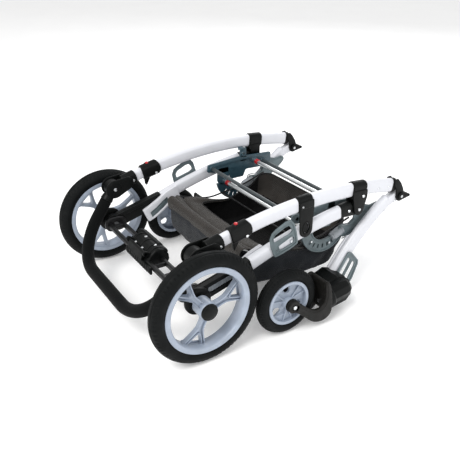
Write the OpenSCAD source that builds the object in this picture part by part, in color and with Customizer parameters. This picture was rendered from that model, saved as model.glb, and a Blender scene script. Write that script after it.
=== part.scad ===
// Folding pushchair chassis with basket, drawn folded: two large rear wheels, two small
// swivel wheels tucked underneath, oval side tubes, a telescopic push handle and a basket.
// +X is the right-hand side, +Y is forward, +Z is up. The origin lies on the ground below
// the middle of the folded chassis.

/* [Rear wheels] */
// Rear wheel diameter over the tyre
rear_wheel_d = 280; // [270:1:285]
// Rear tyre width
rear_tyre_w = 40; // [34:1:40]
// Distance from the middle of one rear tyre to the other
rear_track = 585; // [583:1:590]
// Rear axle stub diameter
stub_d = 12; // [10:1:14]

/* [Front wheels] */
// Front wheel diameter over the tyre
front_wheel_d = 172; // [168:1:172]
// Front tyre width
front_tyre_w = 32; // [28:1:34]
// Distance from the middle of one front tyre to the other
front_track = 602; // [600:1:606]
// How far the wheel axle trails behind its swivel axis
trail = 50; // [46:1:54]

/* [Frame tubes] */
// Distance between the middles of the two side frames
frame_span = 474; // [470:1:476]
// Height of the oval tube section
tube_h = 38; // [36:1:38]
// Width of the oval tube section
tube_w = 22; // [20:1:22]
// Wall of the upper tubes
tube_wall = 1.8; // [1.2:0.2:2.4]
// Bend radius of the long upper tubes
upper_r = 1220; // [1200:10:1240]

/* [Handle] */
// Diameter of the foam grip
grip_d = 34; // [30:1:36]
// Diameter of the bare handle bar inside the grip
bar_d = 22; // [20:1:24]

/* [Basket] */
// Outside width of the basket
basket_w = 392; // [380:2:392]
// Thickness of the basket cloth as a plain wall
cloth_t = 5; // [4:1:6]

/* [Hidden] */
$fn = 64;
big_fn = 120;
run_gap = 0.05;             // running clearance on the radius of every pin and axle
side_gap = 0.5;             // sideways gap between parts that turn against each other
rear_r = rear_wheel_d/2;
front_r = front_wheel_d/2;
hub_z = rear_r;
stub_r = stub_d/2;
rear_x = rear_track/2;
front_x = front_track/2;
frame_x = frame_span/2;
tube_in = frame_x - tube_w/2;
tube_out = frame_x + tube_w/2;
middle_y = 265;             // middle of the folded length, measured from the rear axle

// places in the side view, measured forward from the rear axle and up from the ground
strap_p = [488, 248];       // pivot between the rear legs and the upper tubes
hinge_p = [638, 252];       // pivot between the upper tubes and the front legs
knuckle_p = [8, 244];       // pivot of the push handle
wheel_p = [223, 86];          // front wheel axle
stem_a = 8;                 // slope of the swivel axis in the folded frame
front_leg_c = [927.2, -243.9];    // centre of the front legs' bend
front_leg_r = 585.5;
front_a0 = 123.5;
front_a1 = 148;
upper_c = [390, 305 - upper_r];   // centre of the upper tubes' bend
leg_c = [606.9, -1039.4];   // centre of the rear legs' bend
leg_r = 1300;
leg_a0 = 97.7;
leg_a1 = 110.3;
grip_bow = 211;             // distance from the handle's pivot to the middle of its bow
handle_a = 231.6;           // direction of the handle from its pivot

pin_r = 4;
front_pin_r = 5;
axle_pin_r = 4;

white = [0.93, 0.93, 0.96];
black = [0.07, 0.07, 0.07];
rubber = [0.11, 0.11, 0.11];
rim_grey = [0.66, 0.71, 0.80];
bracket_grey = [0.33, 0.42, 0.46];
chrome = [0.80, 0.83, 0.84];
steel = [0.70, 0.71, 0.72];
red = [0.80, 0.10, 0.20];
cloth = [0.24, 0.23, 0.22];
grey = [0.55, 0.58, 0.58];

// ---------------------------------------------------------------- helpers

// moves everything from the rear axle to the middle of the folded length
module place() translate([0, -middle_y, 0]) children();

// a right-hand part, and its mirror image on the left
module right_side() place() children();
module left_side() place() mirror([1, 0, 0]) children();
module both_sides() {
  right_side() children();
  left_side() children();
}

// turns a drawing so that its X is forward, its Y is up and its Z is to the right
module side_view() rotate([90, 0, 90]) children();

// a flat plate drawn in the side view between two distances to the right
module plate(x0, x1) side_view() translate([0, 0, x0]) linear_extrude(x1 - x0) children();

// a round bar across the frame, at a place in the side view
module cross_pin(p, r, x0, x1) plate(x0, x1) translate(p) circle(r);

// the outline of an oval tube, long along its first axis
module oval(h, w) {
  square([h - w, w], center = true);
  for (s = [-1, 1]) translate([s*(h - w)/2, 0]) circle(d = w);
}

// an oval tube bent along an arc in the side view
module oval_arc(c, r, a0, a1, h, w, x = frame_x) {
  side_view() translate([c[0], c[1], x]) rotate([0, 0, a0])
    rotate_extrude(angle = a1 - a0, $fn = big_fn) translate([r, 0]) oval(h, w);
}

// an arm with round ends between two places in the side view
module arm(p, q, r) {
  translate(p) circle(r);
  translate(q) circle(r);
  bar(p, q, r);
}

// a straight bar without its round ends
module bar(p, q, r) {
  d = q - p;
  translate(p) rotate(atan2(d[1], d[0])) translate([0, -r]) square([norm(d), 2*r]);
}

// points along a circular arc
function arc_points(c, r, a0, a1, n = 10) =
  [for (i = [0:n]) c + r*[cos(a0 + (a1 - a0)*i/n), sin(a0 + (a1 - a0)*i/n)]];

// the angle on the upper tubes' bend at a distance forward of the rear axle
function upper_a(y) = acos((y - upper_c[0])/upper_r);
function upper_z(y) = upper_c[1] + upper_r*sin(upper_a(y));

// a tube through a list of points, with round corners
module bent_rod(points, r) {
  for (i = [0:len(points) - 2]) {
    d = points[i + 1] - points[i];
    translate(points[i]) rotate([0, acos(d[2]/norm(d)), atan2(d[1], d[0])])
      cylinder(r = r, h = norm(d), $fn = 32);
  }
  for (i = [1:len(points) - 2]) translate(points[i]) sphere(r = r + 0.4, $fn = 32);
}

// ---------------------------------------------------------------- rear axle

rail_y = 16;                // the two rails of the beam run this far from the axle line
rail_r = 7;
beam_end = 222;
beam_plate = 8;

module rail_outline(r) for (s = [-1, 1]) translate([s*rail_y, hub_z]) circle(r);

module axle_beam() color(black) place() {
  plate(-beam_end + beam_plate/2, beam_end - beam_plate/2) rail_outline(rail_r);
  for (x = [-beam_end, beam_end - beam_plate]) plate(x, x + beam_plate) difference() {
    arm([-rail_y + 4, hub_z], [rail_y - 4, hub_z], 20);
    translate([0, hub_z]) circle(stub_r + run_gap);
  }
  for (x = [-92, 62, 118]) plate(x, x + 10) square_between(rail_y, hub_z);
}

// a web that joins the two rails
module square_between(w, z) translate([-w, z - 5]) square([2*w, 10]);

module stub_axles() color(steel) both_sides() {
  cross_pin([0, hub_z], stub_r, 206, 312);
  cross_pin([0, hub_z], stub_r + 2.5, 206, beam_end - beam_plate - side_gap);
}

drum_x0 = 252;
drum_x1 = rear_x - 22.5;
module wheel_drums() color(black) both_sides() difference() {
  union() {
    cross_pin([0, hub_z], 34, drum_x0, drum_x1 - 6);
    cross_pin([0, hub_z], 24, drum_x0, drum_x1);
    plate(drum_x0, drum_x0 + 8) arm([0, hub_z], [-30, hub_z + 22], 13);
  }
  cross_pin([0, hub_z], stub_r + run_gap, drum_x0 - 1, drum_x1 + 1);
}

housing_x0 = -76;
housing_x1 = 44;
pedal_p = [-24, hub_z + 25];
module brake_housing() color(black) place() difference() {
  union() {
    plate(housing_x0, housing_x1) polygon([[-24, hub_z - 4], [-23, hub_z - 14], [-14, hub_z - 17],
      [22, hub_z - 18], [34, hub_z - 13], [40, hub_z - 2], [38, hub_z + 12], [26, hub_z + 27],
      [12, hub_z + 33], [0, hub_z + 31], [-12, hub_z + 22], [-22, hub_z + 8]]);
    for (x = [-70, 30]) plate(x, x + 8) arm([-10, hub_z + 14], pedal_p, 7);
    plate(housing_x0 - 26, housing_x1 - 8) arm([22, hub_z + 20], [33, hub_z + 16], 7);
  }
  plate(housing_x0 - 1, housing_x1 + 1) rail_outline(rail_r + run_gap);
  cross_pin(pedal_p, pin_r + run_gap, -80, 50);
}

module brake_pedal() color(black) place() {
  cross_pin(pedal_p, pin_r, -70, 38);
  plate(-57, 25) arm(pedal_p, [-30, hub_z + 2], 3.2);
  plate(-70, 75) polygon([[-25.6, hub_z - 14], [-25.6, hub_z + 5], [-33, hub_z + 7], [-35, hub_z - 5],
    [-31, hub_z - 15]]);
}

// ---------------------------------------------------------------- wheels

rim_r = 108.5;
module tyre(r, w, bead_r) {
  rotate([0, 90, 0]) rotate_extrude($fn = big_fn) difference() {
    translate([r - w/2, 0]) circle(w/2);
    square([2*bead_r, w + 2], center = true);
  }
}
module rear_tyre() color(rubber) translate([rear_x, 0, hub_z]) tyre(rear_r, rear_tyre_w, rim_r + 0.2);

spoke_end = 96;
module rear_rim() color(rim_grey) difference() {
  union() {
    translate([rear_x, 0, hub_z]) rotate([0, 90, 0]) rotate_extrude($fn = big_fn)
      polygon([[94, 19], [rim_r, 19], [rim_r, -17], [rim_r - 4, -17], [rim_r - 4, 14], [98, 14],
        [98, -18], [94, -18]]);
    cross_pin([0, hub_z], 21, rear_x - 22, rear_x + 18);
    plate(rear_x - 3, rear_x + 11) translate([0, hub_z]) intersection() {
      circle(spoke_end, $fn = big_fn);
      for (a = [11, 131, 251]) rotate(a) {
        arm([14, 0], [50, 0], 8);
        for (s = [-1, 1]) arm([48, 0], [100, 24*s], 5);
      }
    }
  }
  cross_pin([0, hub_z], stub_r + run_gap, rear_x - 30, rear_x + 30);
}

module hub_cap() color(black) difference() {
  union() {
    cross_pin([0, hub_z], 19.5, rear_x + 18, rear_x + 25);
    cross_pin([0, hub_z], 15, rear_x + 25, rear_x + 28.5);
  }
  cross_pin([0, hub_z], stub_r + 2, rear_x + 17, rear_x + 23);
}

// ---------------------------------------------------------------- rear legs

leg_lower = leg_c + leg_r*[cos(leg_a1), sin(leg_a1)];
leg_upper = leg_c + leg_r*[cos(leg_a0), sin(leg_a0)];

module rear_leg() color(white) difference() {
  oval_arc(leg_c, leg_r, leg_a0, leg_a1, tube_h, tube_w);
  oval_arc(leg_c, leg_r, leg_a1 - 2, leg_a1 + 1, tube_h - 8, tube_w - 8);
  oval_arc(leg_c, leg_r, leg_a0 - 1, leg_a0 + 1.2, tube_h - 8, tube_w - 8);
}

// foot that carries the leg on the axle stub
leg_down = [-sin(leg_a1), cos(leg_a1)];
leg_across = [cos(leg_a1), sin(leg_a1)];
foot_end = leg_lower + 0.2*leg_down;
module leg_foot() color(black) {
  difference() {
    union() {
      cross_pin([0, hub_z], 23, tube_in, tube_out);
      plate(tube_in, tube_out)
        polygon([[6, hub_z - 20], foot_end - 18*leg_across, foot_end + 18*leg_across, [4, hub_z + 21]]);
    }
    cross_pin([0, hub_z], stub_r + run_gap, tube_in - 1, tube_out + 1);
    plate(tube_in + 6, tube_out + 1) arm([44, hub_z + 12], [112, hub_z + 30], 9);
  }
  oval_arc(leg_c, leg_r, leg_a1 - 1.9, leg_a1 + 0.3, tube_h - 8.6, tube_w - 8.6);
}

// grey spring block in the window of each foot
module foot_springs() color(grey) both_sides()
  plate(tube_in + 6.2, tube_out - 1) arm([44, hub_z + 12], [112, hub_z + 30], 8.6);

module leg_top_fittings() color(black) both_sides() difference() {
  union() {
    oval_arc(leg_c, leg_r, leg_a0 - 1.4, leg_a0 - 0.02, tube_h + 2, tube_w);
    oval_arc(leg_c, leg_r, leg_a0 - 0.5, leg_a0 + 1.1, tube_h - 8.6, tube_w - 8.6);
    plate(tube_in, tube_out) arm([452, 250], strap_p, 17);
  }
  cross_pin(strap_p, pin_r + run_gap, tube_in - 1, tube_out + 1);
}

// slotted grip plates on the outside of the rear legs
carry_t = 5;
module rear_carry_brackets() color(bracket_grey) both_sides() plate(tube_out + 0.2, tube_out + carry_t)
  difference() {
    polygon([[221, 190], [208, 232], [209, 246], [215, 255], [226, 259], [254, 266], [266, 263],
      [271, 254], [283, 210], [262, 214], [240, 202]]);
    polygon([[222, 219], [219, 236], [222, 244], [232, 248], [252, 253], [260, 250], [264, 238]]);
  }

// ---------------------------------------------------------------- basket

basket_rear = 166;
basket_front = 520;
basket_z = 84;
basket_half = basket_w/2;

// side outline of the basket: high at the back, sagging floor, raised front
function basket_outline(inset) = [
  [basket_rear + inset, 190], [basket_rear - 6 + inset, 150], [176 + inset, basket_z + inset],
  [230, 70 + inset], [380, 62 + inset], [400, 66 + inset], [440 - inset, 86 + inset],
  [basket_front - 4 - inset, 168], [basket_front - 8 - inset, 196]];
module basket() color(cloth) place() difference() {
  plate(-basket_half, basket_half)
    polygon(concat(basket_outline(0), [[420, 168], [300, 152], [230, 166], [196, 182]]));
  plate(-basket_half + cloth_t, basket_half - cloth_t)
    polygon(concat(basket_outline(cloth_t), [[basket_front - 20, 260], [176, 260]]));
}

wire_x = basket_half + 4;
module basket_wires() color(steel) both_sides()
  bent_rod([[wire_x, 190, 189], [wire_x, 300, 158], [wire_x, 420, 174], [wire_x, 505, 200]], 2.5);

// ---------------------------------------------------------------- upper tubes

tube_rear_y = 108;
tube_front_y = 610;

button_p = [117, upper_z(117) + 21];
module button_hole() translate([frame_x, button_p[0], button_p[1] - 8]) cylinder(r = 5.2, h = 24);
module upper_tube() color(white) difference() {
  oval_arc(upper_c, upper_r, upper_a(tube_front_y), upper_a(tube_rear_y), tube_h, tube_w);
  button_hole();
  oval_arc(upper_c, upper_r, upper_a(tube_front_y) - 1, upper_a(tube_rear_y) + 1,
    tube_h - 2*tube_wall, tube_w - 2*tube_wall);
}

// a shell that wraps the upper tube
module wrap(y0, y1, t) difference() {
  oval_arc(upper_c, upper_r, upper_a(y1), upper_a(y0), tube_h + 2*t, tube_w + 2*t);
  oval_arc(upper_c, upper_r, upper_a(y1) - 1, upper_a(y0) + 1, tube_h + 0.2, tube_w + 0.2);
}

module tube_collars() color(black) both_sides() difference() {
  union() {
    wrap(100, 152, 3.5);
    plate(frame_x - 5, frame_x + 5) polygon([[106, 251.2], [124, 254.8], [118, 240], [113, 231],
      [109, 233], [110, 246]]);
  }
  button_hole();
}
module release_button() color(red) translate([frame_x, button_p[0], button_p[1] - 0.3])
  cylinder(r = 4.8, h = 5.8);

module latch_plate() color(black) {
  wrap(289, 335, 3.5);
  plate(tube_out + 0.5, tube_out + 6) difference() {
    polygon(concat([[335, 320], [289, 316], [293, 262], [296, 234]],
      arc_points([315, 234], 19, 180, 360), [[334, 262], [338, 290]]));
    translate([315, 240]) scale([1, 1.6]) circle(9);
  }
  plate(tube_out + 0.5, tube_out + 3) translate([315, 240]) scale([1, 1.6]) circle(9);
}

cheek_t = 5;
module strap_cheek(x0) plate(x0, x0 + cheek_t)
  polygon(concat([[505, 290], [465, 292], [466, 285]], arc_points(strap_p, 15, 190, 350), [[503, 280]]));
module pivot_straps() color(black) both_sides() difference() {
  union() {
    wrap(464, 506, 3.2);
    strap_cheek(tube_out + 0.3);
    strap_cheek(tube_in - 0.3 - cheek_t);
  }
  cross_pin(strap_p, pin_r + run_gap, tube_in - 8, tube_out + 8);
  oval_arc(upper_c, upper_r, upper_a(506) - 1, upper_a(464) + 1, tube_h + 0.2, tube_w + 0.2);
}

// hinge caps close the front ends of the upper tubes and hold the front leg pins
module hinge_cap() color(black) {
  oval_arc(upper_c, upper_r, upper_a(tube_front_y) - 0.3, upper_a(tube_front_y) + 1.2,
    tube_h - 2*tube_wall - 0.4, tube_w - 2*tube_wall - 0.4);
  oval_arc(upper_c, upper_r, upper_a(tube_front_y + 9), upper_a(tube_front_y) - 0.01, tube_h + 2, tube_w + 10);
  for (x = [tube_in - 5, tube_out + 0.3]) plate(x, x + 4.7) difference() {
    polygon(concat([[612, 296], [612, 262]], arc_points(hinge_p, 19, 200, 420),
      [[634, 282], [622, 300]]));
    translate(hinge_p) circle(pin_r + run_gap);
  }
}

lever_x0 = tube_in - 11;
lever_x1 = tube_out + 9.8;
module pivot_pins() color(steel) both_sides() {
  cross_pin(strap_p, pin_r, tube_in - 7, tube_out + 7);
  cross_pin(hinge_p, pin_r, lever_x0 - 0.5, lever_x1 + 0.5);
}

module fold_lever() color(black) {
  for (x = [lever_x0, lever_x1 - 4.5]) plate(x, x + 4.5) difference() {
    union() {
      translate(hinge_p) circle(13);
      arm(hinge_p + [8, 2], hinge_p + [28, -2], 4);
    }
    translate(hinge_p) circle(pin_r + run_gap);
  }
  cross_pin(hinge_p + [28, -2], 4, lever_x0, lever_x1);
}

// ---------------------------------------------------------------- seat brackets and bars

seat_x0 = 205;
seat_t = 6;
arc_p = [412, 207];
seat_hole_p = [430, 275];
rear_bar_p = [362, 198];
rear_dark_p = [318, 247];
front_bar_p = [470, 246];
front_dark_p = [504, 238];

module seat_bracket() color(bracket_grey) {
  difference() {
    plate(seat_x0, seat_x0 + seat_t) difference() {
      union() {
        for (y = [346, 430, 524])
          polygon([[y - 12, 250], [y + 12, 250], [y + 11, upper_z(y) - 8], [y - 11, upper_z(y) - 8]]);
        polygon([[300, 236], [304, 262], [420, 268], [534, 262], [534, 232], [516, 219], [440, 222], [430, 178],
          [400, 178], [384, 224]]);
        polygon(concat(arc_points(arc_p, 78, 190, 322), arc_points(arc_p, 44, 322, 190)));
        polygon([[340, 240], [372, 240], [374, 196], [338, 196]]);
      }
      for (i = [0:5]) translate(arc_p) rotate(222 + 15*i) translate([62, 0]) square([10, 4], center = true);
      for (p = [rear_bar_p, rear_dark_p, front_bar_p, front_dark_p]) translate(p) circle(6 + run_gap);
    }
    cross_pin(seat_hole_p, 4.1, seat_x0 - 1, seat_x0 + seat_t + 1);
  }
  plate(seat_x0 + seat_t, tube_in - 0.2) for (y = [346, 430, 524])
    translate([y, upper_z(y) - 16]) square([12, 12], center = true);
}

module chrome_bars() color(chrome) place() for (p = [rear_bar_p, front_bar_p])
  cross_pin(p, 6, -seat_x0 - seat_t, seat_x0 + seat_t);
module dark_bars() color(grey) place() for (p = [rear_dark_p, front_dark_p])
  cross_pin(p, 6, -seat_x0 - seat_t, seat_x0 + seat_t);
module bar_sleeves() color(red) both_sides() for (p = [rear_bar_p, front_bar_p]) difference() {
  cross_pin(p, 8, 180, 192);
  cross_pin(p, 6.1, 179, 193);
}

// locking arms on the inside of the frame, and round plungers at their lower ends
plunger_p = [452, 173];
module plunger(r, l) translate([213.5, plunger_p[0], plunger_p[1]]) rotate([-68, 0, 0])
  cylinder(r = r, h = l, center = true);
module lock_arms() color(bracket_grey) both_sides() {
  cross_pin([525, 227], 6, seat_x0 + seat_t, 214);
  difference() {
    plate(212, 219.5) polygon([[592, 224], [582, 213], [537, 180], [487, 161], [470, 158], [455, 175],
      [460, 192], [490, 190], [508, 202], [514, 232], [530, 236], [560, 226], [586, 230]]);
    plunger(12.3, 46);
  }
}
module lock_plungers() color(grey) both_sides() difference() {
  plunger(12, 40);
  translate([seat_x0 + seat_t - 19.8, plunger_p[0] - 40, plunger_p[1] - 40]) cube([20, 80, 80]);
}

// ---------------------------------------------------------------- handle

module telescopic_tube() color(white) difference() {
  oval_arc(upper_c, upper_r, upper_a(285), upper_a(60), tube_h - 2*tube_wall - 1, tube_w - 2*tube_wall - 1);
  oval_arc(upper_c, upper_r, upper_a(285) - 1, upper_a(60) + 1, tube_h - 2*tube_wall - 4, tube_w - 2*tube_wall - 4);
}

fork_gap = 31;
module handle_knuckle() color(black) difference() {
  union() {
    oval_arc(upper_c, upper_r, upper_a(76), upper_a(38), tube_h + 4, tube_w + 6);
    plate(frame_x - 20, frame_x + 20) arm(knuckle_p + [2, 0], [44, upper_z(44)], 19);
    cross_pin(knuckle_p, 27, frame_x - 20, frame_x + 20);
  }
  cross_pin(knuckle_p, 31, frame_x - fork_gap/2, frame_x + fork_gap/2);
  cross_pin(knuckle_p, pin_r + run_gap, frame_x - 30, frame_x + 30);
  oval_arc(upper_c, upper_r, upper_a(84), upper_a(56), tube_h - 2*tube_wall - 0.8, tube_w - 2*tube_wall - 0.8);
}

// the bow of the handle lies in a sloping plane: straight arms that lean in, round
// corners and a straight grip across the back
lean = 8;
arm_l = 95;
corner_r = (grip_bow - 3 - arm_l*cos(lean))/(1 - sin(lean));
corner_p = [frame_x - arm_l*sin(lean) - corner_r*cos(lean), arm_l*cos(lean) - corner_r*sin(lean)];

// draws in the plane of the handle, with Y from its pivots to its bow
module handle_plane() translate([0, knuckle_p[0], knuckle_p[1]]) rotate([handle_a, 0, 0]) children();

// half of the bow as a round rod that leaves out the first stretch of its arm, with a
// slight bead where each straight length meets the bend
bead = 0.4;
module half_bow(r, skip) {
  translate([frame_x, 0, 0]) rotate([0, 0, lean]) rotate([-90, 0, 0]) {
    translate([0, 0, skip]) cylinder(r = r, h = arm_l - skip);
    translate([0, 0, arm_l - 3]) cylinder(r = r + bead, h = 6);
  }
  translate([corner_p[0], corner_p[1], 0]) rotate([0, 0, lean])
    rotate_extrude(angle = 90 - lean, $fn = big_fn) translate([corner_r, 0]) circle(r);
  translate([corner_p[0] - 3, grip_bow - 3, 0]) rotate([0, 90, 0]) cylinder(r = r + bead, h = 6);
}
module bow(r, skip) {
  half_bow(r, skip);
  mirror([1, 0, 0]) half_bow(r, skip);
  translate([-corner_p[0], grip_bow - 3, 0]) rotate([0, 90, 0]) cylinder(r = r, h = 2*corner_p[0]);
}

module handle_bar() color(black) place() {
  handle_plane() bow(bar_d/2, 0);
  for (s = [-1, 1]) {
    cross_pin(knuckle_p, 23, s*frame_x - 15.2, s*frame_x + 15.2);
    cross_pin(knuckle_p, pin_r, s*frame_x - 19, s*frame_x + 19);
  }
}
module handle_grip() color(rubber) place() handle_plane() difference() {
  bow(grip_d/2, 36);
  bow(bar_d/2 + bead + 0.2, 30);
}

// ---------------------------------------------------------------- front legs

function front_leg_at(a) = front_leg_c + front_leg_r*[cos(a), sin(a)];

module front_leg() color(white) difference() {
  union() {
    oval_arc(front_leg_c, front_leg_r, front_a0, front_a1, tube_h, tube_w);
    cross_pin(hinge_p, 14, tube_in + 0.6, tube_out - 0.6);
    plate(tube_in + 0.6, tube_out - 0.6) bar(hinge_p, front_leg_at(front_a0 + 1), 9.5);
  }
  cross_pin(hinge_p, pin_r + run_gap, tube_in - 1, tube_out + 1);
}

module front_carry_brackets() color(bracket_grey) both_sides() plate(tube_out + 0.2, tube_out + carry_t)
  difference() {
    polygon([[470, 123], [502, 87], [504, 66], [484, 35], [474, 30], [462, 35], [441, 62]]);
    polygon([[488, 93], [492, 84], [471, 48], [464, 50], [463, 60], [476, 86]]);
  }

// ---------------------------------------------------------------- swivel and fork

stem_dir = [cos(stem_a), sin(stem_a)];
stem_side = [-sin(stem_a), cos(stem_a)];
stem_p = wheel_p - trail*stem_side;     // the swivel axis passes through here

// draws with X along the swivel axis, from beside the wheel axle towards the housing
module along_stem() translate([front_x, stem_p[0], stem_p[1]]) rotate([90, 0, 90]) rotate(stem_a) children();
module stem_round(r, s0, s1) along_stem() translate([s0, 0, 0]) rotate([0, 90, 0]) cylinder(r = r, h = s1 - s0);
function stem_at(s, n) = stem_p + s*stem_dir + n*stem_side;

crown_s0 = 101;
crown_s1 = 117;
module swivel_housing() color(black) difference() {
  union() {
    stem_round(27, crown_s1 + 1.5, 200);
    stem_round(32, crown_s1 + 1.5, 134);
    plate(tube_in - 4, front_x) polygon([stem_at(140, -24), stem_at(196, -22), stem_at(206, -6),
      stem_at(206, 20), stem_at(178, 44), stem_at(142, 24)]);
    plate(tube_in - 4, tube_out) polygon([[400, 60], [410, 79], [428, 106], [467, 78], [451, 53],
      [428, 44]]);
  }
  along_stem() translate([100, 0, 0]) rotate([0, 90, 0]) cylinder(r = front_pin_r, h = 85);
  oval_arc(front_leg_c, front_leg_r, 140, front_a1 + 0.02, tube_h + 0.3, tube_w + 0.3);
}

module swivel_pins() color(steel) both_sides() stem_round(front_pin_r, crown_s0 - 3, 184.8);

arm_in = front_x - 35;
arm_out = front_x + 25;
arm_t = 10;
module fork_side() polygon([stem_at(-12, 42), stem_at(-12, 57), stem_at(2, 62), stem_at(17, 53),
  stem_at(36, 30), stem_at(55, 11), stem_at(86, 5), stem_at(98, 20), stem_at(101, 56), stem_at(98, 80),
  stem_at(104, 88), stem_at(112, 86), stem_at(116, 66), stem_at(117, 30), stem_at(117, -3),
  stem_at(111, -27), stem_at(96, -34), stem_at(80, -34), stem_at(56, -26), stem_at(24, 9)]);
module fork() color(black) difference() {
  union() {
    plate(arm_out, arm_out + arm_t) fork_side();
    plate(arm_in, arm_in + arm_t) fork_side();
    plate(arm_in, arm_out + arm_t) polygon([stem_at(crown_s0, -22), stem_at(crown_s0, 80),
      stem_at(106, 84), stem_at(crown_s1 - 3, 64), stem_at(crown_s1, 26), stem_at(crown_s1, -4),
      stem_at(112, -24)]);
  }
  cross_pin(wheel_p, axle_pin_r, arm_in - 1, arm_out + arm_t + 1);
  along_stem() translate([90, 0, 0]) rotate([0, 90, 0]) cylinder(r = front_pin_r + run_gap, h = 40);
}

module front_axle() color(steel) {
  cross_pin(wheel_p, axle_pin_r, arm_in - 3, arm_out + arm_t + 1);
  cross_pin(wheel_p, 7, arm_in - 5, arm_in - 0.1);
  cross_pin(wheel_p, 7, arm_out + arm_t + 0.1, arm_out + arm_t + 4);
}

front_rim_r = 58;
module front_tyre() color(rubber) translate([front_x, wheel_p[0], wheel_p[1]])
  tyre(front_r, front_tyre_w, front_rim_r + 0.2);

module front_rim() color(rim_grey) difference() {
  union() {
    translate([front_x, wheel_p[0], wheel_p[1]]) rotate([0, 90, 0]) rotate_extrude($fn = big_fn) {
      translate([front_rim_r - 4, -14]) square([4, 28]);
      translate([47, 11]) square([front_rim_r - 47, 3.5]);
      translate([47, -14]) square([front_rim_r - 47, 3]);
    }
    cross_pin(wheel_p, 15, front_x - 22, front_x + 22);
    plate(front_x - 2, front_x + 8) translate(wheel_p) intersection() {
      circle(front_rim_r - 2, $fn = big_fn);
      for (a = [20, 140, 260]) rotate(a)
        for (s = [-1, 1]) arm([10, 3*s], [60, 16*s], 4.5);
    }
  }
  cross_pin(wheel_p, axle_pin_r + run_gap, front_x - 30, front_x + 30);
}

// ---------------------------------------------------------------- assembly

axle_beam();
stub_axles();
brake_housing();
wheel_drums();
brake_pedal();
left_side() rear_tyre();  // rear_tyre_left
right_side() rear_tyre();  // rear_tyre_right
left_side() rear_rim();  // rear_rim_left
right_side() rear_rim();  // rear_rim_right
left_side() hub_cap();  // hub_cap_left
right_side() hub_cap();  // hub_cap_right
left_side() rear_leg();  // rear_leg_left
right_side() rear_leg();  // rear_leg_right
left_side() leg_foot();  // leg_foot_left
right_side() leg_foot();  // leg_foot_right
foot_springs();
leg_top_fittings();
rear_carry_brackets();
basket();
basket_wires();
left_side() upper_tube();  // upper_tube_left
right_side() upper_tube();  // upper_tube_right
tube_collars();
left_side() latch_plate();  // latch_plate_left
right_side() latch_plate();  // latch_plate_right
pivot_straps();
left_side() hinge_cap();  // hinge_cap_left
right_side() hinge_cap();  // hinge_cap_right
pivot_pins();
left_side() seat_bracket();  // seat_bracket_left
right_side() seat_bracket();  // seat_bracket_right
chrome_bars();
dark_bars();
bar_sleeves();
lock_arms();
lock_plungers();
left_side() release_button();  // release_button_left
right_side() release_button();  // release_button_right
left_side() fold_lever();  // fold_lever_left
right_side() fold_lever();  // fold_lever_right
left_side() telescopic_tube();  // telescopic_tube_left
right_side() telescopic_tube();  // telescopic_tube_right
left_side() handle_knuckle();  // handle_knuckle_left
right_side() handle_knuckle();  // handle_knuckle_right
handle_bar();
handle_grip();
left_side() front_leg();  // front_leg_left
right_side() front_leg();  // front_leg_right
front_carry_brackets();
left_side() swivel_housing();  // swivel_housing_left
right_side() swivel_housing();  // swivel_housing_right
swivel_pins();
left_side() fork();  // fork_left
right_side() fork();  // fork_right
left_side() front_axle();  // front_axle_left
right_side() front_axle();  // front_axle_right
left_side() front_tyre();  // front_tyre_left
right_side() front_tyre();  // front_tyre_right
left_side() front_rim();  // front_rim_left
right_side() front_rim();  // front_rim_right
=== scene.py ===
"""Folded pet stroller chassis: the looks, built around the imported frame."""

import math

import bmesh
import bpy
from mathutils import Matrix, Vector, noise
from mathutils.geometry import tessellate_polygon


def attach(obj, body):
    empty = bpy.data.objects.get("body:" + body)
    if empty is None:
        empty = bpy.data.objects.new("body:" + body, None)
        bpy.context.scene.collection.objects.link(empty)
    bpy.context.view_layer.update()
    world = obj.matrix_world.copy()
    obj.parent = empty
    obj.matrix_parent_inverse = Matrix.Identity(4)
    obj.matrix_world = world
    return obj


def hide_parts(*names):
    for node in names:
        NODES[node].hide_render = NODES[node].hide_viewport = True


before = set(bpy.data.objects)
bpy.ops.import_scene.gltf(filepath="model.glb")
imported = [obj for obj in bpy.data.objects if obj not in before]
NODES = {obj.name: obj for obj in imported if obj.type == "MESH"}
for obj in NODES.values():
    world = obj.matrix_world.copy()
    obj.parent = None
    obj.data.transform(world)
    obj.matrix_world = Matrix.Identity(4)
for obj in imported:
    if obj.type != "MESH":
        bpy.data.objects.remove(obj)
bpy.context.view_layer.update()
scene = bpy.context.scene

# Places in the side view are in millimetres, forward from the rear axle and up from the ground.
MM = 0.001
MIDDLE_Y = 265.0
HUB_Z = 140.0
REAR_X = 292.5
FRONT_X = 301.0
FRAME_X = 237.0
TUBE_IN = 226.0
TUBE_OUT = 248.0
TUBE_H = 38.0
TUBE_W = 22.0
STRAP = (488.0, 248.0)
HINGE = (638.0, 252.0)
KNUCKLE = (8.0, 244.0)
WHEEL = (223.0, 86.0)
UPPER_C, UPPER_R = (390.0, -915.0), 1220.0
REAR_C, REAR_R = (606.9, -1039.4), 1300.0
FRONT_C, FRONT_R = (927.2, -243.9), 585.5
STEM_A = math.radians(8)
STEM_DIR = (math.cos(STEM_A), math.sin(STEM_A))
STEM_SIDE = (-math.sin(STEM_A), math.cos(STEM_A))
STEM = (WHEEL[0] - 50 * STEM_SIDE[0], WHEEL[1] - 50 * STEM_SIDE[1])


def mm(x, y, z):
    """A place in the shared frame, in metres."""
    return Vector((x, y - MIDDLE_Y, z)) * MM


def polar(c, r, a):
    """A point on a circle in the side view, with its angle in degrees."""
    return (c[0] + r * math.cos(math.radians(a)), c[1] + r * math.sin(math.radians(a)))


def upper_angle(y):
    return math.degrees(math.acos((y - UPPER_C[0]) / UPPER_R))


def upper_z(y):
    return UPPER_C[1] + UPPER_R * math.sin(math.radians(upper_angle(y)))


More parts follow.
